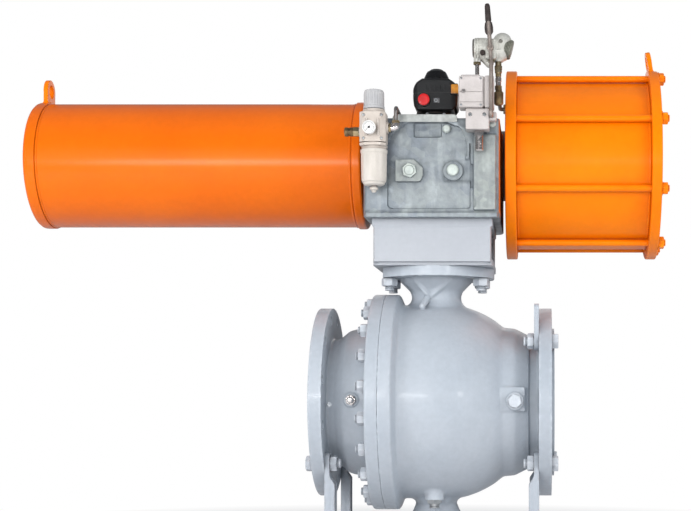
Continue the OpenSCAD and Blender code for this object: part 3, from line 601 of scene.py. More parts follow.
class Nodes:
    def __init__(s, name):
        s.mat = bpy.data.materials.new(name)
        s.mat.use_nodes = True
        s.t = s.mat.node_tree
        s.t.nodes.clear()
        s.out = s.t.nodes.new("ShaderNodeOutputMaterial")
        s.b = s.t.nodes.new("ShaderNodeBsdfPrincipled")
        s.t.links.new(s.b.outputs[0], s.out.inputs[0])
        tc = s.t.nodes.new("ShaderNodeTexCoord")
        s.co = tc.outputs["Object"]

    def put(s, sock, val):
        if isinstance(val, bpy.types.NodeSocket):
            s.t.links.new(val, sock)
        else:
            sock.default_value = val

    def new(s, kind, attrs=None, **ins):
        n = s.t.nodes.new("ShaderNode" + kind)
        for k, v in (attrs or {}).items():
            setattr(n, k, v)
        for k, v in ins.items():
            s.put(n.inputs[int(k[1:])] if k[0] == "_" and k[1:].isdigit() else n.inputs[k.replace("__", " ")], v)
        return n

    def noise(s, scale, detail=3.0, rough=0.55, co=None, dist=0.0):
        n = s.new("TexNoise", Scale=scale, Detail=detail, Roughness=rough, Distortion=dist)
        s.t.links.new(co or s.co, n.inputs["Vector"])
        return n.outputs[0]

    def stretch(s, x, y, z, rot=(0, 0, 0)):
        m = s.new("Mapping")
        m.inputs["Scale"].default_value = (x, y, z)
        m.inputs["Rotation"].default_value = rot
        s.t.links.new(s.co, m.inputs[0])
        return m.outputs[0]

    def math(s, op, a, b=0.0, clamp=False):
        n = s.new("Math", {"operation": op, "use_clamp": clamp})
        s.put(n.inputs[0], a)
        s.put(n.inputs[1], b)
        return n.outputs[0]

    def remap(s, v, a, b, c=0.0, d=1.0):
        n = s.new("MapRange", {"clamp": True})
        for i, x in enumerate((v, a, b, c, d)):
            s.put(n.inputs[i], x)
        return n.outputs[0]

    def mix(s, f, a, b, mode="MIX"):
        n = s.new("Mix", {"data_type": "RGBA", "blend_type": mode})
        s.put(n.inputs[0], f)
        s.put(n.inputs[6], a)
        s.put(n.inputs[7], b)
        return n.outputs[2]

    def bump(s, layers):
        nrm = None
        for h, dist in layers:
            n = s.new("Bump", Strength=1.0, Distance=dist)
            s.put(n.inputs["Height"], h)
            if nrm is not None:
                s.t.links.new(nrm, n.inputs["Normal"])
            nrm = n.outputs[0]
        if nrm is not None:
            s.t.links.new(nrm, s.b.inputs["Normal"])
        return nrm

    def ao(s, dist):
        n = s.new("AmbientOcclusion", {"samples": 6}, Distance=dist)
        return n.outputs["AO"]

    def edge(s):
        g = s.t.nodes.new("ShaderNodeNewGeometry")
        return g.outputs["Pointiness"]


def finish_mat(name, col, col2=None, scale=5.0, detail=4.0, spread=(0.35, 0.65), rough=(0.35, 0.5), rscale=25.0,
               metal=0.0, coat=0.0, coat_rough=0.12, bumps=(), crevice_shade=None, wear=None, spec=0.5, speck=None, stretch=None,
               value=0.06, tint=None):
    n = Nodes(name)
    co = n.stretch(*stretch) if stretch else n.co
    c1 = srgb(*col)
    c2 = srgb(*(col2 or [max(0, x - 14) for x in col]))
    f = n.remap(n.noise(scale, detail, co=co), spread[0], spread[1])
    c = n.mix(f, c1, c2)
    fine = n.remap(n.noise(scale * 9 + 40, 3.0, co=co), 0.3, 0.7, 1 - value, 1 + value)
    hsv = n.new("HueSaturation", Value=fine, Color=c)
    c = hsv.outputs[0]
    if speck:
        sc, lo, hi, sp = speck
        k = n.remap(n.noise(sc, 2.0), lo, hi)
        c = n.mix(k, c, srgb(*sp))
    if wear:
        k = n.remap(n.edge(), 0.515, 0.58, 0.0, wear[1])
        k = n.math("MULTIPLY", k, n.remap(n.noise(60, 4.0), 0.4, 0.62))
        c = n.mix(k, c, srgb(*wear[0]))
    # painted shade: ambient occlusion darkens the colour in crevices, recesses and between parts
    if crevice_shade:
        amt, dist, dc = crevice_shade
        a = n.remap(n.ao(dist), 0.25, 0.95, amt, 0.0)
        c = n.mix(a, c, srgb(*dc))
    n.put(n.b.inputs["Base Color"], c)
    n.put(n.b.inputs["Roughness"], n.remap(n.noise(rscale, 3.0, co=co), 0.3, 0.7, rough[0], rough[1]))
    n.b.inputs["Metallic"].default_value = metal
    n.b.inputs["Specular IOR Level"].default_value = spec
    if tint:
        n.b.inputs["Specular Tint"].default_value = srgb(*tint)
    if coat:
        n.b.inputs["Coat Weight"].default_value = coat
        n.b.inputs["Coat Roughness"].default_value = coat_rough
    n.bump([(n.noise(sc, dt, co=co), dist) for sc, dist, dt in bumps])
    n.mat.diffuse_color = srgb(*col)
    return n


MT = {}
MT["can"] = finish_mat("orange_can", (218, 100, 2), (210, 92, 0), scale=3.0, rough=(0.30, 0.40), coat=0.45, coat_rough=0.24, tint=(255, 150, 10),
                       bumps=((9, 0.0016, 1.0), (240, 0.00009, 2.0)), crevice_shade=(0.6, 0.03, (150, 62, 4)), value=0.03).mat
MT["cyl"] = finish_mat("orange_cylinder", (238, 122, 0), (232, 112, 0), scale=3.5, rough=(0.36, 0.48), coat=0.25, coat_rough=0.26, tint=(255, 160, 20),
                       bumps=((11, 0.0010, 1.0), (260, 0.00009, 2.0)), crevice_shade=(0.45, 0.03, (176, 76, 2)), value=0.03,
                       wear=((255, 172, 50), 0.5)).mat
MT["enamel"] = finish_mat("grey_enamel", (166, 173, 181), (157, 165, 174), scale=4.0, rough=(0.34, 0.46), coat=0.15,
                          bumps=((26, 0.0012, 2.0), (150, 0.00025, 3.0), (600, 0.00006, 2.0)),
                          crevice_shade=(0.28, 0.02, (96, 103, 111)), wear=((198, 204, 210), 0.5), value=0.035).mat
MT["spool"] = finish_mat("spool_enamel", (162, 166, 172), (155, 159, 166), scale=4.0, rough=(0.36, 0.48),
                         bumps=((14, 0.0008, 1.0), (300, 0.00009, 2.0)), crevice_shade=(0.5, 0.03, (96, 103, 111)), value=0.025).mat
MT["leg"] = finish_mat("leg_enamel", (166, 173, 181), (156, 163, 172), scale=5.0, rough=(0.38, 0.5),
                       bumps=((300, 0.00009, 2.0),), crevice_shade=(0.7, 0.03, (70, 76, 84)), wear=((120, 110, 100), 0.5), value=0.04).mat
MT["nut"] = finish_mat("painted_nut", (186, 192, 199), (164, 170, 178), scale=20.0, rough=(0.3, 0.5),
                       bumps=((300, 0.00015, 2.0),), crevice_shade=(0.7, 0.012, (66, 70, 78)), wear=((215, 218, 222), 0.6), value=0.06).mat


def zinc(name, c_a, c_b, c_c, cell=34.0, rough=(0.34, 0.6), metal=0.55, crevice_shade=0.7):
    n = Nodes(name)
    warp = n.new("TexNoise", Scale=9.0, Detail=3.0)
    n.t.links.new(n.co, warp.inputs["Vector"])
    add = n.new("VectorMath", {"operation": "SCALE"})
    n.t.links.new(warp.outputs["Color"], add.inputs[0])
    add.inputs[3].default_value = 0.05
    wv = n.new("VectorMath", {"operation": "ADD"})
    n.t.links.new(n.co, wv.inputs[0])
    n.t.links.new(add.outputs[0], wv.inputs[1])
    v = n.new("TexVoronoi", {"feature": "F1"}, Scale=cell, Randomness=1.0)
    n.t.links.new(wv.outputs[0], v.inputs["Vector"])
    sep = n.new("SeparateColor")
    n.t.links.new(v.outputs["Color"], sep.inputs[0])
    cellv = sep.outputs[0]
    v2 = n.new("TexVoronoi", {"feature": "SMOOTH_F1"}, Scale=cell * 2.6, Randomness=1.0)
    n.t.links.new(wv.outputs[0], v2.inputs["Vector"])
    sep2 = n.new("SeparateColor")
    n.t.links.new(v2.outputs["Color"], sep2.inputs[0])
    big = n.remap(n.noise(7.0, 4.0, dist=0.8), 0.36, 0.62)
    c = n.mix(big, srgb(*c_a), srgb(*c_b))
    c = n.mix(n.math("MULTIPLY", n.remap(cellv, 0.35, 1.0), 0.55), c, srgb(*c_c))
    val = n.math("ADD", n.remap(sep2.outputs[1], 0.0, 1.0, 0.86, 1.12), n.remap(n.noise(90, 4.0), 0.3, 0.7, -0.06, 0.06))
    hsv = n.new("HueSaturation", Value=val, Color=c)
    streak = n.remap(n.noise(6.0, 5.0, co=n.stretch(7, 7, 1.0)), 0.5, 0.72, 0.0, 0.28)
    c = n.mix(streak, hsv.outputs[0], srgb(*[min(255, x + 40) for x in c_c]))
    # painted shade: ambient occlusion darkens the zinc in crevices and recesses
    c = n.mix(n.remap(n.ao(0.03), 0.3, 0.95, crevice_shade, 0.0), c, srgb(62, 70, 78))
    n.put(n.b.inputs["Base Color"], c)
    n.b.inputs["Metallic"].default_value = metal
    n.put(n.b.inputs["Roughness"], n.remap(n.math("ADD", n.math("MULTIPLY", cellv, 0.6), n.math("MULTIPLY", n.noise(45, 4.0), 0.5)), 0.2, 0.9, rough[0], rough[1]))
    n.bump([(n.noise(30, 3.0), 0.0014), (v.outputs["Distance"], 0.0006), (n.noise(260, 3.0), 0.00022)])
    n.mat.diffuse_color = srgb(*c_a)
    return n.mat


MT["zinc"] = zinc("zinc_spangle", (126, 134, 143), (150, 157, 160), (170, 177, 178))
MT["zinc_cover"] = zinc("zinc_cover", (164, 168, 167), (182, 185, 182), (200, 203, 199), cell=50)
MT["zinc_pad"] = zinc("zinc_pad", (134, 140, 141), (150, 156, 155), (170, 176, 172), cell=42, metal=0.4)
# painted reflection: orange-brown colour standing in for the orange plate reflected in the housing's +X side
MT["side_glow"] = finish_mat("painted_orange_reflection", (206, 112, 52), (176, 88, 40), scale=9.0, rough=(0.4, 0.55), metal=0.1,
                             bumps=((30, 0.001, 3.0), (260, 0.0002, 3.0)), value=0.08).mat
MT["dull"] = finish_mat("dull_zinc", (196, 204, 198), (176, 184, 180), scale=60.0, rough=(0.42, 0.55), metal=0.25,
                        bumps=((300, 0.0001, 2.0),), crevice_shade=(0.6, 0.008, (92, 98, 98)), value=0.06).mat


# crevice_shade sets how much painted shade ambient occlusion puts into crevices
def metal_mat(name, col, col2, rough, scale=12.0, stretch=None, grain=(700, 0.00003), crevice_shade=0.5, metal=1.0, **k):
    return finish_mat(name, col, col2, scale=scale, rough=rough, rscale=60.0, metal=metal,
                      bumps=((grain[0], grain[1], 2.0), (60, 0.0002, 2.0)), crevice_shade=(crevice_shade, 0.012, (50, 50, 52)), stretch=stretch, value=0.06, **k).mat


MT["steel"] = metal_mat("machined_steel", (176, 178, 180), (156, 158, 162), (0.28, 0.45), stretch=(1, 1, 6))
MT["polish"] = metal_mat("ground_steel", (214, 216, 218), (200, 202, 206), (0.12, 0.22), crevice_shade=0.25)
MT["zincscrew"] = metal_mat("zinc_plated", (196, 199, 200), (178, 182, 186), (0.28, 0.42), scale=40)
MT["bronze"] = metal_mat("bearing_bronze", (176, 132, 74), (150, 108, 58), (0.3, 0.5), scale=18)
MT["brass"] = metal_mat("nickelled_brass", (203, 190, 160), (176, 152, 104), (0.22, 0.4), scale=34)
MT["brass_dark"] = metal_mat("old_brass", (150, 128, 92), (106, 88, 66), (0.35, 0.6), scale=46, metal=0.8)
MT["chrome"] = metal_mat("bright_fitting", (226, 222, 220), (196, 190, 188), (0.14, 0.28), scale=40)
MT["iron"] = metal_mat("cast_iron", (92, 94, 98), (74, 76, 80), (0.5, 0.7), scale=25, metal=0.7, grain=(350, 0.0003))
MT["alu"] = metal_mat("piston_alloy", (190, 192, 196), (172, 174, 180), (0.3, 0.45), scale=10)
MT["spring"] = metal_mat("spring_steel", (74, 76, 82), (56, 58, 64), (0.35, 0.55), scale=30, metal=0.8)
MT["rubber"] = finish_mat("rubber_seal", (26, 26, 28), (16, 16, 18), scale=60, rough=(0.5, 0.7), bumps=((800, 0.00005, 2.0),), value=0.08).mat
MT["ptfe"] = finish_mat("seat_polymer", (232, 230, 222), (220, 216, 204), scale=40, rough=(0.4, 0.55), bumps=((300, 0.00005, 2.0),), value=0.03).mat
MT["black"] = finish_mat("black_housing", (22, 23, 25), (12, 13, 15), scale=18, rough=(0.34, 0.5), coat=0.1,
                         bumps=((900, 0.00012, 3.0), (60, 0.0004, 1.0)), crevice_shade=(0.5, 0.01, (60, 58, 55)), wear=((70, 72, 75), 0.5), value=0.1).mat
MT["darksteel"] = metal_mat("dark_steel", (70, 62, 58), (46, 40, 38), (0.35, 0.6), scale=50, metal=0.6)
MT["red"] = finish_mat("red_disc", (214, 26, 30), (190, 16, 22), scale=60, rough=(0.28, 0.4), coat=0.3, bumps=((500, 0.00005, 2.0),), crevice_shade=(0.6, 0.004, (90, 8, 10)), value=0.05).mat
MT["amber"] = finish_mat("amber_plug", (196, 132, 34), (160, 98, 20), scale=90, rough=(0.3, 0.5), bumps=((500, 0.00008, 2.0),), value=0.08).mat
MT["beige"] = finish_mat("beige_alloy", (192, 183, 174), (180, 170, 161), scale=14, rough=(0.36, 0.5), bumps=((420, 0.0001, 3.0), (40, 0.0003, 1.0)),
                         crevice_shade=(0.7, 0.012, (104, 92, 84)), wear=((236, 232, 226), 0.5), value=0.04).mat
MT["white"] = finish_mat("gauge_white", (232, 232, 230), (224, 224, 222), scale=60, rough=(0.3, 0.4), bumps=((500, 0.00002, 2.0),), crevice_shade=(0.4, 0.004, (120, 120, 120)), value=0.02).mat
MT["ink"] = finish_mat("dial_ink", (32, 34, 38), (24, 26, 30), scale=200, rough=(0.5, 0.6), value=0.04).mat
MT["knob"] = finish_mat("knob_plastic", (176, 176, 176), (160, 160, 162), scale=30, rough=(0.36, 0.5), bumps=((700, 0.00008, 2.0),), crevice_shade=(0.7, 0.006, (78, 78, 80)), value=0.05).mat
MT["bowl"] = finish_mat("bowl_alloy", (196, 190, 183), (186, 180, 172), scale=16, rough=(0.3, 0.44), bumps=((500, 0.00008, 2.0),), stretch=(3, 3, 1),
                        crevice_shade=(0.7, 0.01, (104, 96, 90)), value=0.04).mat
MT["valvegrey"] = finish_mat("valve_alloy", (200, 199, 190), (178, 178, 172), scale=22, rough=(0.28, 0.46), metal=0.25,
                             bumps=((260, 0.0002, 3.0), (40, 0.0005, 2.0)), crevice_shade=(0.8, 0.014, (92, 86, 78)), wear=((228, 226, 218), 0.6), value=0.07).mat
MT["tube"] = metal_mat("stainless_tube", (186, 182, 180), (166, 160, 158), (0.22, 0.36), scale=30)
MT["grip"] = finish_mat("dark_grip", (58, 50, 48), (40, 34, 33), scale=60, rough=(0.45, 0.62), bumps=((600, 0.0002, 3.0),), value=0.1).mat


MT["sol"] = finish_mat("solenoid_white", (184, 178, 176), (172, 166, 163), scale=20, rough=(0.4, 0.55), metal=0.05, bumps=((400, 0.0001, 3.0), (40, 0.0004, 2.0)),
                       crevice_shade=(0.6, 0.010, (112, 104, 100)), value=0.05).mat
MT["rod"] = metal_mat("rod_metal", (176, 164, 156), (146, 134, 127), (0.3, 0.45), scale=36, metal=0.75)
MT["cowl"] = finish_mat("cowl_alloy", (128, 128, 116), (98, 99, 90), scale=30, rough=(0.4, 0.55), metal=0.3, bumps=((300, 0.0002, 3.0),),
                        crevice_shade=(0.7, 0.012, (48, 48, 42)), wear=((176, 176, 160), 0.5), value=0.08).mat
MT["grey_label"] = finish_mat("grey_plate", (128, 128, 130), (86, 86, 90), scale=160, rough=(0.35, 0.5), metal=0.4, bumps=((600, 0.0001, 2.0),), value=0.1).mat


def dome_material():
    n = Nodes("smoked_dome")
    f = n.remap(n.noise(40, 3.0), 0.35, 0.65)
    n.put(n.b.inputs["Base Color"], n.mix(f, srgb(22, 22, 25), srgb(14, 14, 17)))
    n.b.inputs["Transmission Weight"].default_value = 0.35
    n.b.inputs["IOR"].default_value = 1.45
    n.put(n.b.inputs["Roughness"], n.remap(n.noise(120, 2.0), 0.3, 0.7, 0.10, 0.22))
    n.bump([(n.noise(90, 2.0), 0.0002)])
    return n.mat


MT["dome"] = dome_material()


def glass_material():
    n = Nodes("dial_glass")
    n.b.inputs["Base Color"].default_value = (0.95, 0.96, 0.97, 1)
    n.b.inputs["Transmission Weight"].default_value = 1.0
    n.b.inputs["IOR"].default_value = 1.2
    n.put(n.b.inputs["Roughness"], n.remap(n.noise(200, 2.0), 0.3, 0.7, 0.02, 0.06))
    return n.mat


MT["glass"] = glass_material()
# ---------------------------------------------------------------- valve castings
HALF, FRONT, FB, JX = 305.0, 298.6, 266.0, -125.5
AY, AZ = 92.0, 627.0  # piston axis
ENAMEL = [MT["enamel"], MT["nut"], MT["steel"], MT["zincscrew"]]

shell_line = [(254 - 8 * ((10 - x) / 102) ** 2, x) for x in np.linspace(-66, 10, 8)]
shell_arc = [(254 * math.sin(math.radians(a)), 10 + 254 * math.cos(math.radians(a))) for a in range(86, 53, -3)]
body_tab = Table(fil(
    [(0, JX), (278, JX, 3), (278, -94, 8), (249.5, -82, 16)] + shell_line + shell_arc
    + [(197, 169, 6), (193, 176, 10), (190, 204, 30), (172, 240, 2.5), (161, 242, 3), (160, FB, 7),
       (242.5, FB, 2.5), (242.5, FRONT, 2.5), (190.5, FRONT, 0.8), (190.5, HALF, 0.6), (0, HALF)], 5))
neck_tab = Table(fil([(0, 150), (64, 150), (64, 282, 26), (90, 308, 10), (96, 318, 3), (150, 318, 2.5), (150, 343, 2), (0, 343)], 5))
trun_tab = Table(fil([(0, -150), (51, -150), (51, -258, 30), (64, -290, 26), (95, -301, 3), (95, -325, 1.5), (0, -325)], 5))


def cavity(p, side):
    return U(s_sph(p, (0, 0, 0), 230), s_cyl(p, 0, (0, 0), 172.2, min(0, side * 187), max(0, side * 187)),
             s_cyl(p, 0, (0, 0), 151.5, min(0, side * 320), max(0, side * 320)))


def f_body(p):
    d = s_rev(p, body_tab, 0)
    d = ru(d, s_rev(p, neck_tab, 2), 20)
    d = ru(d, s_rev(p, trun_tab, 2), 16)
    # crossing ribs on the front of the neck, and their foot on the shell
    q = [p[0], -np.abs(p[1]), p[2]]
    rib = U(s_cap(q, (-50, -72, 316), (-14, -61, 268), 6.5), s_cap(q, (42, -76, 316), (-22, -60, 262), 6.5),
            s_cap(q, (-18, -64, 268), (-30, -92, 243), 8))
    d = ru(d, rib, 5)
    # nut seats under the actuator flange
    n8 = fold(p, 2, 8, 22.5)
    d = rc(d, s_cyl(n8, 2, (127, 0), 24, 286, 317, 3), 3)
    # bosses
    d = ru(d, s_cyl(p, 1, (207, 3), 21, -206, -150, 1.5), 5)
    d = ru(d, s_box(p, (172, -194, -22), (232, -150, 38), 4), 6)
    d = ru(d, s_cyl(p, 2, (2, -105), 24, -246, -200, 1.5), 7)
    d = ru(d, s_box(p, (-40, -62, -262), (40, 62, -200), 16), 14)
    d = np.maximum(d, -cavity(p, 1))
    d = np.maximum(d, -s_cyl(p, 0, (0, 0), 229, -140, -20))
    d = np.maximum(d, -s_cyl(p, 2, (0, 0), 46, -350, 350))
    d = np.maximum(d, -s_cyl(fold(p, 0, 12, 15), 0, (215.9, 0), 12.7, 260, 320))
    d = np.maximum(d, -s_cyl(n8, 2, (127, 0), 13, 300, 360))
    return d


M = Mesh().field(f_body, (-125.5, -278, -325), (305, 278, 343), 4.9)
build("valve_body_casting", M, ENAMEL, "frame", ["valve_body"])

clos_tab = Table(fil(
    [(0, -112), (226.9, -112), (228.9, -114), (228.9, JX), (278, JX, 3), (278, -158, 5), (196, -158, 8), (192, -192, 40), (184, -222, 26),
     (166, -244, 14), (160, -FB, 7), (242.5, -FB, 2.5), (242.5, -FRONT, 2.5), (190.5, -FRONT, 0.8), (190.5, -HALF, 0.6), (0, -HALF)], 5))


def f_clos(p):
    d = s_rev(p, clos_tab, 0)
    d = ru(d, s_cyl(p, 1, (-198, 6), 17, -197.5, -150, 1.5), 6)
    d = np.maximum(d, -s_cyl(p, 1, (-256, -5.5), 6, -175, -154.5, 0))
    d = np.maximum(d, -cavity(p, -1))
    d = np.maximum(d, -s_cyl(fold(p, 0, 12, 15), 0, (215.9, 0), 12.7, -320, -260))
    return d


M = Mesh().field(f_clos, (-305, -278, -278), (-112, 278, 278), 4.6)
build("closure_casting", M, ENAMEL, "frame", ["closure"])

# closure nuts on their studs
M, S = Mesh(), Mesh()
nut = hexnut(17.3, 18.0, 9.95)
stud = Mesh().lathe([(0, -85), (9.8, -85, 0.5), (9.8, -20), (0, -20)], 2, seg=32)
stud.lathe(thread(9.9, -21.0, 8.0, 2.5), 2, seg=32)
for i in range(20):
    a = math.radians(9 + 18 * i)
    y, z = 252 * math.cos(a), 252 * math.sin(a)
    M.join(nut, AX(0, (-158, y, z), True, a * 1.7))
    S.join(stud, AX(0, (-174, y, z), True))
build("closure_nuts_painted", M, [MT["nut"]], "frame", ["closure_nuts"])
build("closure_studs_threaded", S, [MT["nut"]], "frame", ["closure_studs"])

# lower trunnion cap with its screws
M = Mesh().lathe([(0, -325), (95, -325, 1), (95, -341, 3), (91, -345, 2), (52, -345, 2), (44, -349, 2), (0, -349)], 2, seg=128)
sock = Mesh().lathe([(0, 0), (12, 0, 0.8), (12, 14, 1.6), (6.6, 14, 0.5), (6.6, 8, 0.3), (0, 8)], 2, seg=48)
build("trunnion_cap_turned", M, ENAMEL, "frame", ["trunnion_cap"])

M = Mesh().lathe([(41, 343), (80, 343), (80, 361, 1.5), (51, 361, 2), (48, 366, 1), (41, 366)], 2, seg=96)
build("gland_plate_turned", M, [MT["steel"]], "frame", ["gland_plate"])

M = Mesh()
for x, y in ring(4, 65, 45):
    M.join(sock, AX(2, (x, y, 361)))
small = Mesh().lathe([(0, 0), (6.5, 0, 0.5), (6.5, 7, 1), (3.6, 7, 0.3), (3.6, 3.6, 0.2), (0, 3.6)], 2, seg=40)
for x, y in ring(8, 68, 22.5):
    M.join(small, AX(2, (x, y, 722)))
for x, y in ring(6, 78, 30):
    M.join(sock, AX(2, (x, y, -345), True))
build("cap_screw_heads", M, [MT["zincscrew"]], "frame", ["cap_screws"])

# grease fitting
M = Mesh()
M.join(hexnut(13.5, 8), AX(1, (-198, -198, 6), True, 0.2))
M.lathe([(0, -206), (8.5, -206, 0.8), (8.5, -209, 0.8), (6.4, -210, 0.5), (6.4, -214, 1.2), (7.4, -216, 1.4), (6.0, -220, 2), (0, -220.2)], 1, c=(-198, 6), seg=40)
build("grease_fitting_head", M, [MT["chrome"]], "frame", ["grease_fitting"])

# vent plug and drain plug
M = Mesh()
M.join(hexnut(17.5, 11), AX(1, (207, -206, 3), True, 0.25))
M.lathe([(0, -205), (19, -205, 0.6), (19, -207.5, 0.8), (0, -207.5)], 1, c=(207, 3), seg=48)
build("vent_plug_head", M, [MT["nut"]], "frame", ["vent_plug"])

M = Mesh()
M.join(hexnut(20, 10), AX(2, (2, -105, -246), True))
M.lathe([(0, -255), (13, -255, 0.5), (13, -262, 1), (11, -263, 0.5), (13, -264, 0.5), (13, -268, 1.5), (0, -268)], 2, c=(2, -105), seg=48)
build("drain_plug_head", M, [MT["zincscrew"]], "frame", ["drain_plug"])

# ---------------------------------------------------------------- mounting spool


def f_spool(p):
    x, y, z = p
    low = s_box(p, (-150, -150, 343), (150, 150, 359), 1.5)
    corner = s_box(p, (-150, -150, 300), (150, 150, 400), 22)
    low = np.maximum(low, corner)
    top = s_box(p, (-150, -160, 440), (150, 160, 459), 1.5)
    ay = [np.abs(x), np.abs(y), z]
    wall = s_box(ay, (-145, 146, 351), (145, 159.4, 458), 2)
    post = s_box(ay, (132, 100, 351), (145, 152, 450), 3)
    d = ru(ru(low, top, 1), ru(wall, post, 8), 4.5)
    # rounded window in each end
    win = s_box(ay, (100, -108, 368), (170, 108, 434), 12)
    d = np.maximum(d, -win)
    d = np.maximum(d, -s_cyl(p, 2, (0, 0), 95, 330, 365))
    d = np.maximum(d, -s_cyl(p, 2, (0, 0), 80, 430, 470))
    q = fold(p, 2, 8, 22.5)
    d = np.maximum(d, -U(s_cyl(q, 2, (127, 0), 13, 330, 365), s_cyl(q, 2, (127, 0), 11, 435, 470)))
    return d


M = Mesh().field(f_spool, (-150, -160, 343), (150, 160, 459), 3.1)
build("spool_weldment", M, [MT["spool"]], "frame", ["bracket"])

M = Mesh()
head = hexnut(20.8, 13)
nut2 = hexnut(20.8, 20.6, 11.95)
tail = Mesh().lathe(thread(11.9, 0, 12, 3.0), 2, seg=36)
head2 = hexnut(17.3, 12)
wash = Mesh().lathe([(0, 0), (21.5, 0, 0.4), (21.5, 2, 0.6), (0, 2)], 2, seg=48)
for i, (x, y) in enumerate(ring(8, 127, 22.5)):
    M.join(head, AX(2, (x, y, 359), False, i * 0.7))
    if y > -100:
        M.join(nut2, AX(2, (x, y, 318), True, i * 0.9 + 0.2))
        M.join(tail, AX(2, (x, y, 298), True))
    M.join(head2, AX(2, (x, y, 443), True, i * 0.5))
build("spool_bolts", M, [MT["nut"]], "frame", ["bracket_bolts"])

# ---------------------------------------------------------------- legs
LW, LZ = 44.0, -410.0


def f_leg(p):
    """All four channel legs, by mirror symmetry."""
    x, y, z = np.abs(p[0]), np.abs(p[1]) - F(152.7), p[2]
    q = [x, y, z]
    web = s_box(q, (FB - 12, -LW / 2, LZ + 4), (FB, LW / 2, -125), 1.5)
    web = rc(web, -s_box(q, (FB - 30, -LW / 2, LZ - 40), (FB + 30, LW / 2, -125), 10), 0.6)
    fl = s_box([x, np.abs(y), z], (FB - 25, LW / 2 - 6, LZ + 4), (FB - 1, LW / 2, -180), 1.5)
    sl = (z + F(205)) * F(0.55) + (F(FB - 25) - x) * F(0.84)
    fl = np.maximum(fl, sl)
    d = ru(web, fl, 4)
    foot = s_box(q, (FB - 60, -40, LZ), (FB + 20, 40, LZ + 10), 2)
    d = ru(d, foot, 4)
    rad = hyp(p[1], p[2])
    d = np.maximum(d, F(198) - rad)
    d = np.maximum(d, -s_cyl([x, np.abs(p[1]), p[2]], 0, (152.66, -152.66), 12.7, FB - 18, FB + 14))
    d = np.maximum(d, -s_cyl([x, y, z], 2, (FB - 45, 0), 9, LZ - 5, LZ + 14))
    return d


M = Mesh().field(f_leg, (-286, -193, LZ), (286, 193, -125), 2.9)
build("support_legs_formed", M, [MT["leg"]], "frame", ["support_legs"])

M = Mesh()
bolt = hexnut(20.2, 15)
nutl = hexnut(20.2, 17, 11.95)
taill = Mesh().lathe(thread(11.9, -2, 26, 3.0), 2, seg=36)
washl = Mesh().lathe([(12.8, 0), (22, 0, 0.5), (22, 1.0, 0.4), (12.8, 1.0)], 2, seg=48)
spots = [(s, t * 152.66, -152.66) for s in (-1, 1) for t in (-1, 1)] + [(1, -152.66, 152.66)]
for k, (s, y, z) in enumerate(spots):
    fl = s < 0
    M.join(washl, AX(0, (s * FRONT, y, z), fl))
    M.join(bolt, AX(0, (s * (FRONT + 1), y, z), fl, 0.3 + k))
    M.join(nutl, AX(0, (s * (FB - 12.0), y, z), not fl, 0.1 + k * 0.6))
    M.join(taill, AX(0, (s * (FB - 12.0), y, z), not fl))
build("leg_bolts_zinc", M, [MT["nut"]], "frame", ["leg_bolts"])
# ---------------------------------------------------------------- spring can
CAN = 161.95
M = Mesh()
M.lathe([(CAN - 9.5, -1023), (CAN, -1023, 0.8), (CAN, -213, 0.8), (CAN - 9.5, -213)], 0, c=(AY, AZ), seg=224)
# circumferential weld beads near both ends
for x, w in ((-1019.5, 3.6), (-217.5, 3.4)):
    M.lathe([(CAN - 1.5, x - w), (CAN + 0.6, x - w * 0.8, 1), (CAN + 1.7, x, 3), (CAN + 0.6, x + w * 0.8, 1), (CAN - 1.5, x + w)], 0, c=(AY, AZ), seg=224)
build("spring_can_tube", M, [MT["can"]], "frame", ["spring_can"])

M = Mesh()
r = CAN
M.lathe([(0, -1023), (r + 3.4, -1023, 1.5), (r + 3.5, -1040, 3), (r + 2.8, -1048, 4), (r - 1.5, -1053, 3), (r - 7, -1052, 2), (r - 9, -1049.5, 2), (0, -1049.5)], 0, c=(AY, AZ), seg=224)
# boss and plug of the end cap
M.lathe([(0, -1048), (34, -1048, 2), (34, -1051, 1.5), (0, -1051)], 0, c=(AY, AZ), seg=80)
M.join(hexnut(18, 2.0), AX(0, (-1050.8, AY, AZ), True))
build("can_end_dish", M, [MT["can"]], "frame", ["can_end_cap"])

M = Mesh()
M.lathe([(24, -213), (r + 4.6, -213, 2.5), (r + 5, -206, 6), (r + 5, -194, 3.5), (r + 2.5, -190, 2), (110, -190, 0.5), (103, -188, 3), (100, -184, 3), (100, -169, 0.8), (24, -169)], 0, c=(AY, AZ), seg=224)
sock16 = Mesh().lathe([(0, 0), (10.5, 0, 0.6), (10.5, 9, 1.4), (5.8, 9, 0.4), (5.8, 5, 0.3), (0, 5)], 2, seg=40)
for y, z in ring(8, 132, 22.5):
    M.join(sock16, AX(0, (-190, AY + y, AZ + z)), m=1)
build("can_flange_ring", M, [MT["can"], MT["zincscrew"]], "frame", ["can_flange"])

# ---------------------------------------------------------------- pneumatic cylinder
P0, P1 = 181.0, 550.0
M = Mesh().lathe([(210, 209), (220, 209, 0.8), (220, 550, 0.8), (210, 550)], 0, c=(AY, AZ), seg=256)
for x in (212.0, 547.0):
    M.lathe([(218, x - 3.2), (220.8, x - 2.6, 0.8), (221.6, x, 2), (220.8, x + 2.6, 0.8), (218, x + 3.2)], 0, c=(AY, AZ), seg=256)
build("barrel_tube", M, [MT["cyl"]], "frame", ["cylinder_barrel"])


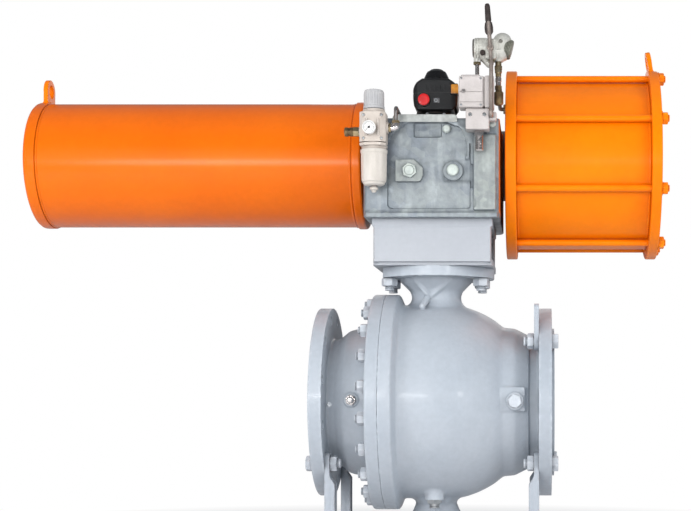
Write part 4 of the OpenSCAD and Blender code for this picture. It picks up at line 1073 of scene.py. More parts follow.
def disc(name, pts, node, holes, seg=256):
    """Turned plate with through holes cut by an exact boolean."""
    tmp = Mesh().lathe(pts, 0, c=(AY, AZ), seg=seg)
    cut = Mesh()
    for y, z, rad, x0, x1 in holes:
        cut.lathe([(0, x0), (rad, x0), (rad, x1), (0, x1)], 0, c=(y, z), seg=40)
    obs = []
    for tag, mm in (("a", tmp), ("b", cut)):
        me = bpy.data.meshes.new("tmp_" + tag)
        me.from_pydata(np.concatenate(mm.v).tolist(), [], mm.f)
        me.update()
        ob = bpy.data.objects.new("tmp_" + tag, me)
        bpy.context.scene.collection.objects.link(ob)
        obs.append(ob)
    md = obs[0].modifiers.new("cut", "BOOLEAN")
    md.operation, md.solver, md.object = "DIFFERENCE", "EXACT", obs[1]
    dg = bpy.context.evaluated_depsgraph_get()
    ev = bpy.data.meshes.new_from_object(obs[0].evaluated_get(dg), depsgraph=dg)
    bm = bmesh.new()
    bm.from_mesh(ev)
    bmesh.ops.remove_doubles(bm, verts=bm.verts, dist=0.001)
    out = Mesh()
    out.take(bm)
    for ob in obs:
        bpy.data.objects.remove(ob)
    return out


rod8 = [(AY + y, AZ + z) for y, z in ring(8, 230, 22.5)]
M = disc("inner", [(30, 181), (247, 181, 3), (247, 209, 3), (30, 209)], "inner_plate",
         [(y, z, 9.0, 187, 230) for y, z in rod8] + [(-20, 757, 8.0, 170, 230)])
build("inner_plate_turned", M, [MT["cyl"]], "frame", ["inner_plate"])
M = disc("outer", [(0, 550), (247, 550, 3), (247, 576, 3), (190, 576, 1), (187, 573, 1), (48, 573, 1.5), (45, 575.6, 1), (0, 575.6)], "outer_plate",
         [(y, z, 9.2, 540, 590) for y, z in rod8] + [(AY, AZ - 150, 9.0, 540, 590)])
# a blanking plug in the hub
M.join(hexnut(17, 3.4), AX(0, (575.4, AY, AZ)), m=1)
build("outer_plate_turned", M, [MT["cyl"], MT["cyl"]], "frame", ["outer_plate"])

M = Mesh()
rod = Mesh()
rod.lathe([(0, 188), (7.6, 188, 0.3), (8.9, 190, 0.3), (8.9, 553, 0.3), (8.2, 555), (8.2, 556), (0, 556)], 2, seg=36)
rod.lathe(thread(8.9, 555, 595, 2.5), 2, seg=36)
for i, (y, z) in enumerate(rod8):
    M.join(rod, Matrix.Translation((0, y, z)) @ Matrix.Rotation(math.pi / 2, 4, "Y"))
build("tie_rods_threaded", M, [MT["cyl"]], "frame", ["tie_rods"])

M = Mesh()
tn = hexnut(16.5, 13.6, 8.95)
tw = Mesh().lathe([(9.4, 0), (18.5, 0, 0.4), (18.5, 1.4, 0.5), (9.4, 1.4)], 2, seg=48)
for i, (y, z) in enumerate(rod8):
    M.join(tw, AX(0, (576, y, z)))
    M.join(tn, AX(0, (577.4, y, z), False, i * 0.8))
build("tie_rod_nuts_painted", M, [MT["cyl"]], "frame", ["tie_rod_nuts"])


def f_eye_l(p):
    y, z = p[1] - F(AY), p[2]
    zc = AZ + CAN - 10 + 45
    q = [p[0], y, z]
    d = ri(U(np.maximum(hyp(y, z - F(zc)), 0) - F(31), s_box([y * 0, y, z], (-1, -31, AZ + CAN - 12), (1, 31, zc))), np.abs(p[0] + F(1037)) - F(6), 2.2)
    # weld fillet to the cap
    can = hyp(y, z - F(AZ)) - F(CAN + 3.2)
    d = np.minimum(d, np.maximum(ru(d, can, 6), np.maximum(np.abs(p[0] + F(1037)) - F(13), np.maximum(-can - F(1.5), np.abs(y) - F(37)))))
    d = np.maximum(d, -(can + F(1.0)))
    return rc(d, hyp(y, z - F(zc)) - F(17), 2.0)


EM = Matrix.Translation((P1 + 15, AY, AZ + 247 - 18)) @ Matrix.Rotation(math.radians(-9), 4, "Y")
EI = np.array(EM.inverted())


def f_eye_r(p):
    q = [sum(p[j] * F(EI[i][j]) for j in range(3)) + F(EI[i][3]) for i in range(3)]
    prof = U(hyp(q[1], q[2] - F(44)) - F(30), s_box([q[1] * 0, q[1], q[2]], (-1, -30, 0), (1, 30, 44)))
    d = ri(prof, np.abs(q[0]) - F(6), 2.2)
    rad = hyp(p[1] - F(AY), p[2] - F(AZ)) - F(246.9)
    band = np.maximum(np.abs(p[0] - F(563)) - F(12.6), np.abs(q[1]) - F(36))
    d = np.minimum(d, np.maximum(ru(d, rad, 6), np.maximum(band, -rad - F(1.5))))
    d = np.maximum(d, -(rad + F(1.0)))
    return rc(d, hyp(q[1], q[2] - F(44)) - F(16), 2.0)


def f_lug(p):
    d = s_box(p, (FB - 12, -176, 130), (FB, -130, 246), 1.0)
    d = ri(d, s_box(p, (FB - 30, -176, 130), (FB + 30, -130, 246), 14), 1.0)
    rad = hyp(p[1], p[2])
    d = np.maximum(d, F(172) - rad)
    return np.maximum(d, -U(s_cyl(p, 0, (-152.66, 152.66), 12.7, 250, 280), s_cyl(p, 0, (-152.66, 222), 12, 250, 280)))


M = Mesh()
M.field(f_eye_l, (-1053, AY - 40, AZ + CAN - 20), (-1021, AY + 40, AZ + CAN + 68), 1.7)
M.field(f_eye_r, (545, AY - 40, AZ + 215), (590, AY + 40, AZ + 306), 1.7)
M.field(f_lug, (FB - 12, -176, 130), (FB, -130, 246), 1.7, m=1)
build("lifting_eyes_welded", M, [MT["cyl"], MT["leg"]], "frame", ["lifting_eyes"])

# ---------------------------------------------------------------- yoke housing
case_tab = Table(fil([(-169, -183, 11), (169, -183, 11), (169, 240, 32), (-169, 240, 32)], 6))
pent_tab = Table(fil([(-88, 546, 3), (-28, 546, 4), (-21, 561, 5), (-21, 580, 5), (-42, 600, 5), (-88, 600, 4)], 3))
panel_tab = Table(fil([(-108, 480, 10), (96, 480, 8), (96, 640, 8), (84, 676, 26), (40, 692, 20), (-60, 692, 24), (-96, 668, 24), (-108, 640, 14)], 5))


def f_house(p):
    x, y, z = p
    d2 = case_tab(x, y)
    d = ri(d2, np.abs(z - F(581.5)) - F(122.5), 4)
    # recessed front panel with sloping sides, its pads and ribs
    pan = panel_tab(x, z)
    d = rc(d, np.maximum(pan, y - F(-178.5)), 2.6)
    d = ru(d, np.maximum(np.maximum(hyp(x - F(-2), z - F(628)) - F(96), F(90) - hyp(x - F(-2), z - F(628))), np.maximum(np.abs(y + F(179)) - F(3.6), F(60) - x)), 3)
    pad = ri(pent_tab(x, z), np.abs(y + F(182)) - F(10), 2.0)
    d = ru(d, pad, 2.5)
    d = rc(d, s_box(p, (28, -188, 545), (97, -177, 603), 7), 2.0)
    d = ru(d, s_cyl(p, 1, (54, 573), 24, -190, -170, 2.2), 3.0)
    d = ru(d, s_box(p, (104, -188.5, 476), (160, -170, 664), 4.5), 3.0)
    d = np.maximum(d, -s_box(p, (97.5, -192, 530), (103, -177, 590), 2))
    d = np.maximum(d, -U(s_cap(p, (106, -189, 504), (106, -189, 486), 3.2), s_cap(p, (106, -189, 486), (99, -186, 480), 3.2),
                         s_cap(p, (99, -186, 480), (90, -184, 486), 3.0)))
    d = rc(d, s_box(p, (-44, -195, 657), (25, -172.5, 693), 5), 2.0)
    d = ru(d, s_box(p, (-163, -186, 459), (163, -170, 471), 1.5), 2.5)
    # top rim, right boss, side and rear ribs
    d = ru(d, s_cyl(p, 0, (AY, AZ), 92, 160, 181, 1.0), 5)
    d = ru(d, s_cyl(p, 2, (0, 0), 96, 690, 706, 1.5), 2.0)
    back = np.abs(x)
    for xr in (44.0, 118.0):
        d = rc(d, s_box([back, y, z], (xr - 26, 233, 486), (xr + 26, 260, 676), 9), 3)
    side = s_box([back, y, z], (163, -120, 486), (190, -24, 676), 9)
    d = rc(d, side, 3)
    # inside
    d = np.maximum(d, -s_box(p, (-157, -171, 479), (157, 228, 690), 6))
    d = np.maximum(d, -s_cyl(p, 2, (0, 0), 55, 440, 490))
    d = np.maximum(d, -s_cyl(p, 2, (0, 0), 60, 680, 720))
    d = np.maximum(d, -s_cyl(fold(p, 2, 8, 22.5), 2, (127, 0), 10, 450, 477))
    d = np.maximum(d, -s_cyl(p, 0, (AY, AZ), 30, -190, 190))
    return np.maximum(d, -U(s_cyl(p, 1, (-54, 573), 12, -200, -160), s_cyl(p, 1, (54, 573), 12, -200, -160)))


M = Mesh().field(f_house, (-169, -192, 459), (181, 240, 706), 3.7)
# plugs and small screws on the front and top corners
for x, z in ((37.5, 677), (-92, 684), (150, 690), (-150, 690)):
    M.lathe([(0, -178), (10, -178, 0.5), (10, -186, 1), (8, -190.5, 3), (0, -191)], 1, c=(x, z), seg=40, m=1)
# raised rim along the front of the top
M.prism(fil([(-96, 694), (64, 694), (64, 713, 11), (-96, 713, 11)], 6), 1, -186.6, -100, 1.6, m=2)
for x, y in ((-150, -160), (150, -160), (-140, 205), (140, 205), (-150, 20), (150, 20)):
    M.join(sock16, AX(2, (x, y, 704)), m=1)
for x, z in ((-148, 486), (-148, 676), (148, 486), (148, 676), (0, 486), (0, 676)):
    M.join(sock16, AX(1, (x, 239, z)), m=1)
hob = build("yoke_housing_casting", M, [MT["zinc"], MT["dull"], MT["zinc_cover"], MT["side_glow"], MT["zinc_pad"]], "frame", ["yoke_housing"])
# faces on the +X side get the painted orange reflection of the plate beside them; front pad faces get the pad zinc
for pl in hob.data.polygons:
    if pl.material_index == 0:
        c, nn = pl.center / MM, pl.normal
        if c.x > 166 and nn.x > 0.35 and c.z > 470:
            pl.material_index = 3
        elif c.y < -180.5 and -88 < c.x < -20 and 546 < c.z < 600 and nn.y < -0.5:
            pl.material_index = 4
        elif c.y < -183.5 and 104 < c.x < 160 and 470 < c.z < 664 and nn.y < -0.5:
            pl.material_index = 4

M = Mesh().lathe([(55, 690), (59.9, 690), (59.9, 704), (77, 704, 1), (77, 717, 2.5), (73, 722, 2), (61, 722, 2), (58.5, 733, 3), (52, 736, 1.5), (15.05, 736), (15.05, 716), (55, 716)], 2, seg=144)
build("housing_cover_turned", M, [MT["zinc_cover"]], "frame", ["housing_cover"])

M = Mesh()
for x in (-54, 54):
    f = x < 0
    body = Mesh().lathe(thread(11.9, 0, 151, 3.0), 2, seg=40)
    M.join(body, AX(1, (x, -48, 573), True))
    if f:
        M.join(hexnut(18.5, 7.4, 12.0), AX(1, (x, -191.1, 573), True, 0.2))
    else:
        M.lathe([(0, -189), (15, -189, 0.8), (15, -195, 2), (13, -200, 3), (0, -202)], 1, c=(x - 1, 574), seg=64)
build("stop_bolts_threaded", M, [MT["dull"]], "frame", ["stop_bolts"])
# ---------------------------------------------------------------- switch box
sw_tab = Table(fil([(-62, 784, 10), (-57, 764, 6), (-47, 749.5, 4), (45, 749.5, 4), (58, 764, 6), (62, 784, 10), (62, 804, 8), (49, 821, 8), (34, 831, 5), (-34, 831, 5),
                    (-49, 821, 8), (-62, 804, 8)], 4), step=0.35)
sw_plan = Table(fil([(-58, -52, 16), (58, -52, 16), (58, 52, 16), (-58, 52, 16)], 5), step=0.35)


def f_switch(p):
    x, y, z = p
    d = ri(sw_tab(x, z), sw_plan(x, y), 5)
    # split line between base and lid, screw bosses, raised top deck
    d = np.maximum(d, -np.maximum(np.abs(z - F(794)) - F(0.9), -(d + F(1.3))))
    ax, ay = np.abs(x), np.abs(y)
    d = ru(d, s_cyl([ax, ay, z], 2, (46, 38), 8.0, 760, 812, 2), 2)
    d = ru(d, s_cyl(p, 2, (0, 0), 36, 820, 834, 2), 3)
    for k in (-24, -12, 0, 12, 24):
        d = ru(d, s_box([x, ay, z], (k - 1.4, 44, 800), (k + 1.4, 51.8, 814), 1.2), 1.2)
    d = ru(d, s_cyl(p, 1, (-29, 774), 16, -57, -40, 1), 2)
    d = ru(d, s_box(p, (38, -56.5, 788), (58.5, -36, 817), 3), 2)
    d = ru(d, s_cyl(p, 1, (-20, 778), 14, 40, 64, 1.5), 2)
    inner = s_box(p, (-53, -47, 753), (53, 47, 822), 6)
    d = np.maximum(d, -inner)
    d = np.maximum(d, -s_cyl(p, 2, (0, 0), 17, 740, 760))
    d = np.maximum(d, -s_cyl(p, 2, (0, 0), 8.6, 815, 840))
    return np.maximum(d, -s_cyl(p, 1, (-20, 778), 10, 40, 70))


M = Mesh().field(f_switch, (-62, -57, 748), (62, 64, 834), 1.55)
M.lathe([(0, -56), (15, -56, 0.6), (15, -60.5, 1.6), (10, -61.5, 1), (0, -61.5)], 1, c=(-29, 775), seg=64, m=1)
M.box((40.5, -58, 790.5), (59.5, -38, 814.5), 2.5, m=2)
for x, y in ((46, 40), (-46, 40), (46, -40), (-46, -40)):
    M.join(Mesh().lathe([(0, 0), (4.6, 0, 0.3), (4.6, 2.6, 0.9), (2.4, 2.6, 0.2), (2.4, 1.2, 0.2), (0, 1.2)], 2, seg=28), Matrix.Translation((x, y * 0.95, 811.6)), m=3)
M.join(Mesh().lathe([(0, 0), (5.4, 0, 0.3), (5.4, 2.4, 0.9), (2.6, 2.4, 0.2), (2.6, 1.0, 0.2), (0, 1.0)], 2, seg=28), AX(1, (2, -51.5, 774), True), m=3)
M.box((-4, -52.8, 768), (11, -51.4, 780), 0.6, m=4)
build("switch_box_case", M, [MT["black"], MT["red"], MT["amber"], MT["zincscrew"], MT["grey_label"]], "frame", ["switch_box"])

M = Mesh().lathe([(24.6, 834), (33, 834, 0.8), (33, 838.5, 1.5), (31.6, 843, 4), (25.5, 855.5, 9), (14, 863.8, 12), (0, 865), (0, 862.4), (14, 861, 8), (24.6, 857, 1)], 2, seg=96)
build("beacon_dome_shell", M, [MT["dome"]], "frame", ["beacon_dome"])

M = Mesh()
M.lathe([(0, 752), (8, 752, 0.6), (8, 838, 0.3), (24, 838, 1), (24, 856, 1.5), (0, 856)], 2, seg=64)
M.box((-26.2, -4.6, 840.4), (26.2, 4.6, 853.6), 1.0, m=1)
build("beacon_rotor", M, [MT["red"], MT["white"]], "rotor", ["beacon"])


def f_swb(p):
    d = s_cyl(p, 2, (0, 0), 38, 736, 748, 1)
    d = np.maximum(d, -s_cyl(p, 2, (0, 0), 30, 730, 750))
    return rc(d, s_box(p, (-20, -60, 739), (20, 60, 745), 2), 0.6)


M = Mesh().field(f_swb, (-38, -38, 736), (38, 38, 748), 1.6)
# foot of the bracket
M.prism(fil([(-55, 728), (-49, 728), (-47, 733), (-44, 745.4), (-36, 745.4), (-36, 748), (-47.5, 748, 2), (-52, 734)], 3), 1, -36, 36, 0.8)
for x in (-30, 30):
    M.join(Mesh().lathe([(0, 0), (4.2, 0, 0.3), (4.2, 3, 0.8), (0, 3)], 2, seg=24), AX(1, (x * 0.72, -31, 742), True), m=1)
build("switch_bracket_ring", M, [MT["darksteel"], MT["zincscrew"]], "frame", ["switch_bracket"])

# ---------------------------------------------------------------- filter regulator
FX, FY = -137.6, -225.0
frl_tab = Table(fil([(-33, -22, 4), (-21, -34, 4), (19, -34, 4), (31, -22, 4), (31, 26, 4), (25, 34, 4), (-26, 34, 4), (-33, 26, 4)], 3), step=0.3)


def f_frl(p):
    x, y, z = p[0] - F(FX), p[1] - F(FY), p[2]
    q = [x, y, z]
    d = ri(frl_tab(x, y), np.abs(z - F(666.5)) - F(41.5), 3)
    waist = np.maximum(np.abs(z - F(633)) - F(1.2), F(32) - hyp(x, y))
    d = rc(d, waist, 0.8)
    d = ru(d, s_cyl(q, 2, (0, 0), 30, 616, 640, 1.5), 2)
    d = ru(d, s_cyl(q, 2, (0, 0), 27, 700, 716, 2), 2.5)
    d = ru(d, s_box(q, (-22, 30, 640), (22, 42.5, 700), 2), 2)
    d = ru(d, s_cyl([-x, y, z], 0, (0, 662), 14, 30, 35.6, 1), 2)
    d = ru(d, s_cyl(q, 0, (0, 672), 14, 30, 35.6, 1), 2)
    d = ru(d, s_cyl(q, 1, (-6, 664), 13, -36.5, -30, 1), 1.5)
    d = np.minimum(d, s_cyl(q, 1, (-6, 664), 8, -41, -30, 0.4))
    # fine vertical ribs on the cheeks
    for k in (-14, 14):
        d = ru(d, s_box([x, np.abs(y + F(2)), z], (k - 1.2, 31, 648), (k + 1.2, 36.5, 690), 1), 1)
    d = np.maximum(d, -s_cyl([-x, y, z], 0, (0, 662), 9, 16, 40))
    d = np.maximum(d, -s_cyl(q, 0, (0, 672), 9, 16, 40))
    return np.maximum(d, -s_cyl(q, 2, (0, 0), 10.05, 708, 720))


M = Mesh().field(f_frl, (FX - 36, FY - 41, 617), (FX + 36, FY + 42.5, 716), 1.35)
for x, z in ((-26, 700), (26, 700), (-26, 640), (26, 640)):
    M.join(Mesh().lathe([(0, 0), (3.4, 0, 0.3), (3.4, 2, 0.8), (0, 2)], 2, seg=24), AX(1, (FX + x * 0.84, FY - 33.6, z * 0.94 + 40.2), True), m=1)
build("regulator_body", M, [MT["beige"], MT["zincscrew"]], "frame", ["filter_regulator"])

# knob with flutes
M = Mesh()
seg = 144
prof = fil([(0, 717), (26, 717, 1), (26, 723, 1), (25.2, 724.5, 1), (24.9, 750, 3), (24.6, 757, 3), (22.5, 763, 3), (14, 765, 4), (0, 765)], 4)
verts, rows = [], []
for r, z in prof:
    if r < 1e-6:
        rows.append([len(verts)] * seg)
        verts.append((FX, FY, z))
        continue
    rows.append(list(range(len(verts), len(verts) + seg)))
    for k in range(seg):
        a = 2 * math.pi * k / seg
        g = 0.0 if not 724 < z < 760 else 1.1 * max(0.0, math.cos(a * 24)) ** 0.6
        rr = r - g * min(1, (z - 724) / 4) * min(1, max(0.2, (760 - z) / 6))
        verts.append((FX + rr * math.cos(a), FY + rr * math.sin(a), z))
fc = []
for i in range(len(rows) - 1):
    for k in range(seg):
        l = (k + 1) % seg
        q = [rows[i][k], rows[i][l], rows[i + 1][l], rows[i + 1][k]]
        q = [x for j, x in enumerate(q) if x != q[j - 1]]
        if len(q) > 2:
            fc.append(q)
M.add(np.array(verts), fc)
M.lathe([(0, 709), (10, 709), (10, 717.5), (0, 717.5)], 2, c=(FX, FY), seg=32)
for k in range(3):
    a = math.radians(-90 + (k - 1) * 22)
    M.box((FX + 17 * math.cos(a) - 0.8, FY + 17 * math.sin(a) - 0.8, 764.0), (FX + 17 * math.cos(a) + 0.8, FY + 17 * math.sin(a) + 0.8, 764.9), 0.2)
build("regulator_knob_fluted", M, [MT["knob"]], "knob", ["regulator_knob"])


def f_bowl(p):
    x, y, z = p[0] - F(FX), p[1] - F(FY), p[2]
    rad = hyp(x, y)
    out = bowl_tab(rad, z)
    ang = np.arctan2(y, x)
    # shallow vertical flutes
    fl = np.cos(ang * F(12)) * F(0.35) * np.clip((z - F(548)) / F(8), 0, 1) * np.clip((F(606) - z) / F(6), 0, 1)
    d = out + fl
    inner = bowl_in(rad, z)
    # sight slots left and right
    slot = s_box([np.abs(y), np.abs(x), z], (-5, 28, 556), (5, 40, 598), 4)
    return np.maximum(np.maximum(d, -inner), -slot)


bowl_tab = Table(fil([(0, 530), (19, 530, 2), (25.5, 533, 3), (27, 538, 2), (29.5, 539.5, 2), (30.6, 546, 4), (31.6, 608, 1), (33, 610, 1), (33, 617.8, 0.8), (0, 617.8)], 4), step=0.3)
bowl_in = Table([(0, 536), (22, 537), (28.4, 547), (28.4, 640), (0, 640)], step=0.3)
M = Mesh().field(f_bowl, (FX - 36, FY - 36, 530), (FX + 36, FY + 36, 617.8), 1.3)
M.lathe([(0, 541), (26.6, 541, 3), (27.8, 550, 2), (27.8, 612), (26, 612), (26, 551, 2), (25, 544, 3), (0, 543)], 2, c=(FX, FY), seg=64, m=1)
M.lathe([(0, 514), (4, 514, 0.4), (6, 516, 0.6), (6, 519.6, 0.4), (10, 520, 0.5), (10, 526, 1), (6.4, 527, 0.6), (6.4, 532), (0, 532)], 2, c=(FX, FY), seg=48)
build("filter_bowl_guard", M, [MT["bowl"], MT["glass"]], "frame", ["filter_bowl"])

# gauge: case, dial with a generic scale
GX, GZ = FX - 6, 664.0
M = Mesh()
M.lathe([(0, -266), (8, -266), (8, -268.6, 0.3), (15, -268.6, 1), (18.6, -271, 1.5), (19, -276, 0.6), (18.2, -277, 0.4), (19, -278, 0.4), (19, -286.6, 1.2), (17.6, -288, 0.5), (17, -287.6, 0.3), (17, -283), (0, -283)], 1, c=(GX, GZ), seg=96)
for k in range(31):
    a = math.radians(225 - 9 * k)
    big = k % 5 == 0
    r0, r1, w = (11.6, 15.0, 0.42) if big else (13.4, 15.0, 0.22)
    u, v = np.array((math.cos(a), math.sin(a))), np.array((-math.sin(a), math.cos(a)))
    pts = [u * r0 - v * w, u * r1 - v * w, u * r1 + v * w, u * r0 + v * w]
    M.prism([(GX + q[0], GZ + q[1]) for q in pts], 1, -283.35, -282.9, 0, m=1)
M.lathe([(0, -282.9), (3.4, -282.9), (3.4, -283.3, 0.2), (0, -283.3)], 1, c=(GX, GZ), seg=32, m=1)
GK = 0.84


def about_gauge(M):
    """Draws the gauge in towards its own axis."""
    for v in M.v:
        v[:, 0] = GX + (v[:, 0] - GX) * GK
        v[:, 2] = GZ + (v[:, 2] - GZ) * GK
    return M


M.v = [np.array(v, dtype=float) for v in M.v]
about_gauge(M)
build("gauge_case", M, [MT["white"], MT["ink"]], "frame", ["gauge"])
for k, txt in enumerate(("0", "2", "4", "6", "8", "10", "12")):
    a = math.radians(225 - 45 * k)
    cu = bpy.data.curves.new("scale_" + txt, "FONT")
    cu.body = txt
    cu.size = 3.1 * GK * MM
    cu.extrude = 0.06 * MM
    cu.align_x, cu.align_y = "CENTER", "CENTER"
    cu.materials.append(MT["ink"])
    t = bpy.data.objects.new("gauge_scale_" + txt, cu)
    bpy.context.scene.collection.objects.link(t)
    t.location = ((GX + 9.3 * GK * math.cos(a)) * MM, -283.2 * MM, (GZ + 9.3 * GK * math.sin(a)) * MM)
    t.rotation_euler = (math.pi / 2, 0, 0)
    bpy.context.view_layer.update()
    me = bpy.data.meshes.new_from_object(t)
    me.transform(t.matrix_world)
    ob = bpy.data.objects.new("gauge_number_" + txt, me)
    bpy.context.scene.collection.objects.link(ob)
    bpy.data.objects.remove(t)
    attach(ob, "frame")

M = Mesh()
M.lathe([(0, -283.7), (2.5, -283.7, 0.3), (2.5, -285.5, 0.5), (0, -285.6)], 1, c=(GX, GZ), seg=32)
a = math.radians(225)
u, v = np.array((math.cos(a), math.sin(a))), np.array((-math.sin(a), math.cos(a)))
pts = [-u * 5 - v * 1.0, -v * 0.7, u * 13.6 - v * 0.12, u * 13.9, u * 13.6 + v * 0.12, v * 0.7, -u * 5 + v * 1.0]
M.prism([(GX + q[0], GZ + q[1]) for q in pts], 1, -285.0, -284.4, 0.1)
M.v = [np.array(v, dtype=float) for v in M.v]
about_gauge(M)
build("gauge_needle_blade", M, [MT["ink"]], "needle", ["gauge_needle"])

# ---------------------------------------------------------------- solenoid valve


def f_sol(p):
    x, y, z = p
    body = s_box(p, (71, -240, 720), (130, -188, 797), 3.5)
    cap = s_box(p, (76, -234, 790), (122, -194, 801), 2.5)
    d = ru(body, cap, 2)
    d = rc(d, s_box(p, (60, -260, 757), (140, -238.4, 758.6)), 0.3)
    d = rc(d, s_box(p, (60, -260, 732), (140, -238.4, 733.6)), 0.3)
    neck = s_box(p, (126, -234, 724), (137, -194, 796), 1)
    pil = s_box(p, (134, -238, 720), (156, -190, 798), 3)
    d = np.minimum(d, np.minimum(neck, pil))
    man = s_box(p, (87, -232, 668), (144, -182.8, 719), 2.5)
    d = ru(d, man, 2)
    ear = s_box(p, (140, -226, 690), (162, -196, 712), 4)
    d = ru(d, ear, 2)
    for xx in (98, 133):
        d = rc(d, s_cyl(p, 1, (xx, 704), 4.6, -240, -227, 0.4), 0.4)
    return np.maximum(d, -s_cyl(p, 1, (82, 760), 4.4, -250, -230))


M = Mesh().field(f_sol, (68, -240, 668), (162, -183, 806), 1.55)
for xx in (98, 133):
    M.join(Mesh().lathe([(0, 0), (4.2, 0, 0.3), (4.2, 3.4, 0.8), (2.3, 3.4, 0.2), (2.3, 1.4, 0.2), (0, 1.4)], 2, seg=28), AX(1, (xx, -228, 704), True), m=1)
for x, z in ((76.5, 791), (124, 791), (76.5, 726), (124, 726)):
    M.join(Mesh().lathe([(0, 0), (2.8, 0, 0.2), (2.8, 1.4, 0.7), (0, 1.4)], 2, seg=24), AX(1, (x, -239.6, z), True), m=1)
M.lathe([(0, 796), (9, 796, 0.4), (9, 801, 0.8), (0, 801)], 2, c=(145, -214), seg=32, m=1)
build("solenoid_body", M, [MT["sol"], MT["zincscrew"]], "frame", ["solenoid_valve"])

M = Mesh().lathe([(0, -234), (4, -234, 0.3), (4, -243.4, 0.9), (2.6, -244, 0.4), (2.6, -243.3, 0.2), (0, -243.3)], 1, c=(82, 760), seg=36)
build("override_button_cap", M, [MT["chrome"]], "button", ["override_button"])

# ---------------------------------------------------------------- hand valve


def f_hand(p):
    x, y, z = p
    # left lobe: a short round housing that tapers down to the riser
    d = s_cyl(p, 0, (-195, 874), 25, 104, 142, 8)
    d = ru(d, s_cap(p, (118, -195, 862), (144, -195, 835), 9.5), 10)
    # block between the lobes
    mid = s_box(p, (134, -221, 842), (162, -174, 893), 6)
    d = ru(d, mid, 5)
    # right lobe: a domed housing
    r2 = s_cap(p, (172, -195, 864), (176, -195, 888), 23.5)
    d = ru(d, r2, 4)
    cone = np.maximum(hyp(x - F(166), y + F(195)) - (F(9.5) + np.clip((z - F(838)) * F(0.55), 0, 14)), np.abs(z - F(852)) - F(12))
    d = ru(d, cone * F(0.85), 3)
    d = ru(d, s_cyl(p, 2, (114, -200), 8.5, 836, 858, 1), 2)
    for xx in (112, 119):
        d = rc(d, np.maximum(np.abs(x - F(xx)) - F(0.8), F(23.9) - hyp(y + F(195), z - F(874))), 0.4)
    d = rc(d, s_cyl(p, 1, (172, 886), 5, -230, -212, 0.4), 0.6)
    d = ru(d, s_cyl(p, 1, (147, 868), 11, -222.5, -210, 1), 2)
    return np.maximum(d, -s_cyl(p, 1, (147, 868), 6.3, -230, -199))


def f_cowl(p):
    x, y, z = p
    q = [x * F(0.966) - z * F(0.259), y, z * F(0.966) + x * F(0.259)]
    cx, cz = 186 * 0.966 - 872 * 0.259, 872 * 0.966 + 186 * 0.259
    d = s_cyl(q, 0, (-195, cz), 24.5, cx - 6, cx + 14, 5)
    for k in range(-2, 3):
        d = rc(d, np.maximum(np.abs(q[0] - F(cx + 4 + k * 3.6)) - F(0.9), F(23.3) - hyp(y + F(195), q[2] - F(cz))), 0.3)
    return d


M = Mesh().field(f_hand, (104, -222.5, 826), (200, -170, 912), 1.6)
M.field(f_cowl, (174, -220, 846), (208, -170, 900), 1.3, m=3)
M.lathe([(0, 102.6), (20, 102.6, 2), (22.5, 104.5, 1), (22.5, 108), (0, 108)], 0, c=(-195, 874), seg=64, m=2)
M.lathe([(0, -214), (6.5, -214), (6.5, -220.5, 1), (4.5, -221.2, 0.5), (0, -221.2)], 1, c=(128, 858), seg=32, m=2)
M.lathe([(0, 803), (7.2, 803, 0.6), (7.2, 812, 0.6), (8.8, 813, 0.4), (8.8, 820, 0.4), (7.8, 821, 0.5), (7.8, 841, 0.8), (0, 841)], 2, c=(166, -195), seg=48, m=1)
M.join(hexnut(10.8, 8), AX(2, (166, -195, 822)), m=1)
M.join(hexnut(10.5, 6), AX(2, (114, -200, 838), True), m=1)
M.join(hexnut(8.6, 5), AX(2, (150, -206, 843), True), m=1)
build("hand_valve_body", M, [MT["valvegrey"], MT["brass"], MT["darksteel"], MT["cowl"]], "frame", ["manual_valve"])

M = Mesh()
LM = Matrix.Translation((147, -230, 868)) @ Matrix.Rotation(math.radians(-4), 4, "Y")
M.lathe([(0, -202), (6, -202, 0.5), (6, -223, 0.3), (7.6, -223, 0.8), (7.6, -233.4, 1.4), (5, -234, 0.4), (0, -234)], 1, c=(147, 868), seg=48)
M.join(Mesh().lathe([(0, -2), (4.9, -2, 0.5), (5.2, 30), (5.0, 70), (0, 70)], 2, seg=32), LM @ Matrix.Translation((0, -0.5, 0)))
M.join(Mesh().lathe([(0, -34), (3.2, -34, 1), (4.2, -31, 1), (4.4, 2), (0, 2)], 2, seg=32), LM @ Matrix.Translation((0, -0.5, 0)))
collar = Mesh().lathe([(0, 32), (6.5, 32, 1), (10.2, 38, 4), (10.6, 50, 4), (8.6, 62, 3), (0, 66)], 2, seg=40)
M.join(collar, LM @ Matrix.Translation((0, 2.6, 0)) @ Matrix.Scale(0.42, 4, (0, 1, 0)), m=1)
grip = Mesh().lathe([(0, 60), (5.6, 60, 1), (7.6, 66, 3), (7.3, 76, 3), (6.9, 90, 3), (6.6, 101, 3), (4.6, 107, 3), (0, 108)], 2, seg=40)
M.join(grip, LM @ Matrix.Scale(0.8, 4, (0, 1, 0)), m=1)
build("hand_lever_arm", M, [MT["rod"], MT["grip"]], "lever", ["hand_lever"])

# ---------------------------------------------------------------- air lines and fittings
M = Mesh()
M.tube([(-84, FY, 684), (-84, FY, 722), (-84, 100, 722), (112, 100, 722), (112, -128, 722), (112, -152, 711), (112, -182, 711)], 5, 9)
M.tube([(114, -200, 806), (114, -200, 837)], 5, 8)
M.tube([(166, -195, 772), (166, -195, 757), (166, -20, 757), (176, -20, 757)], 5, 8)
M.tube([(150, -206, 844), (150, -206, 832), (150, -244, 832), (150, -244, 701), (150, -225, 701)], 5, 9, m=1)
build("air_tubes_bent", M, [MT["tube"], MT["rod"]], "frame", ["air_tubing"])

M = Mesh()
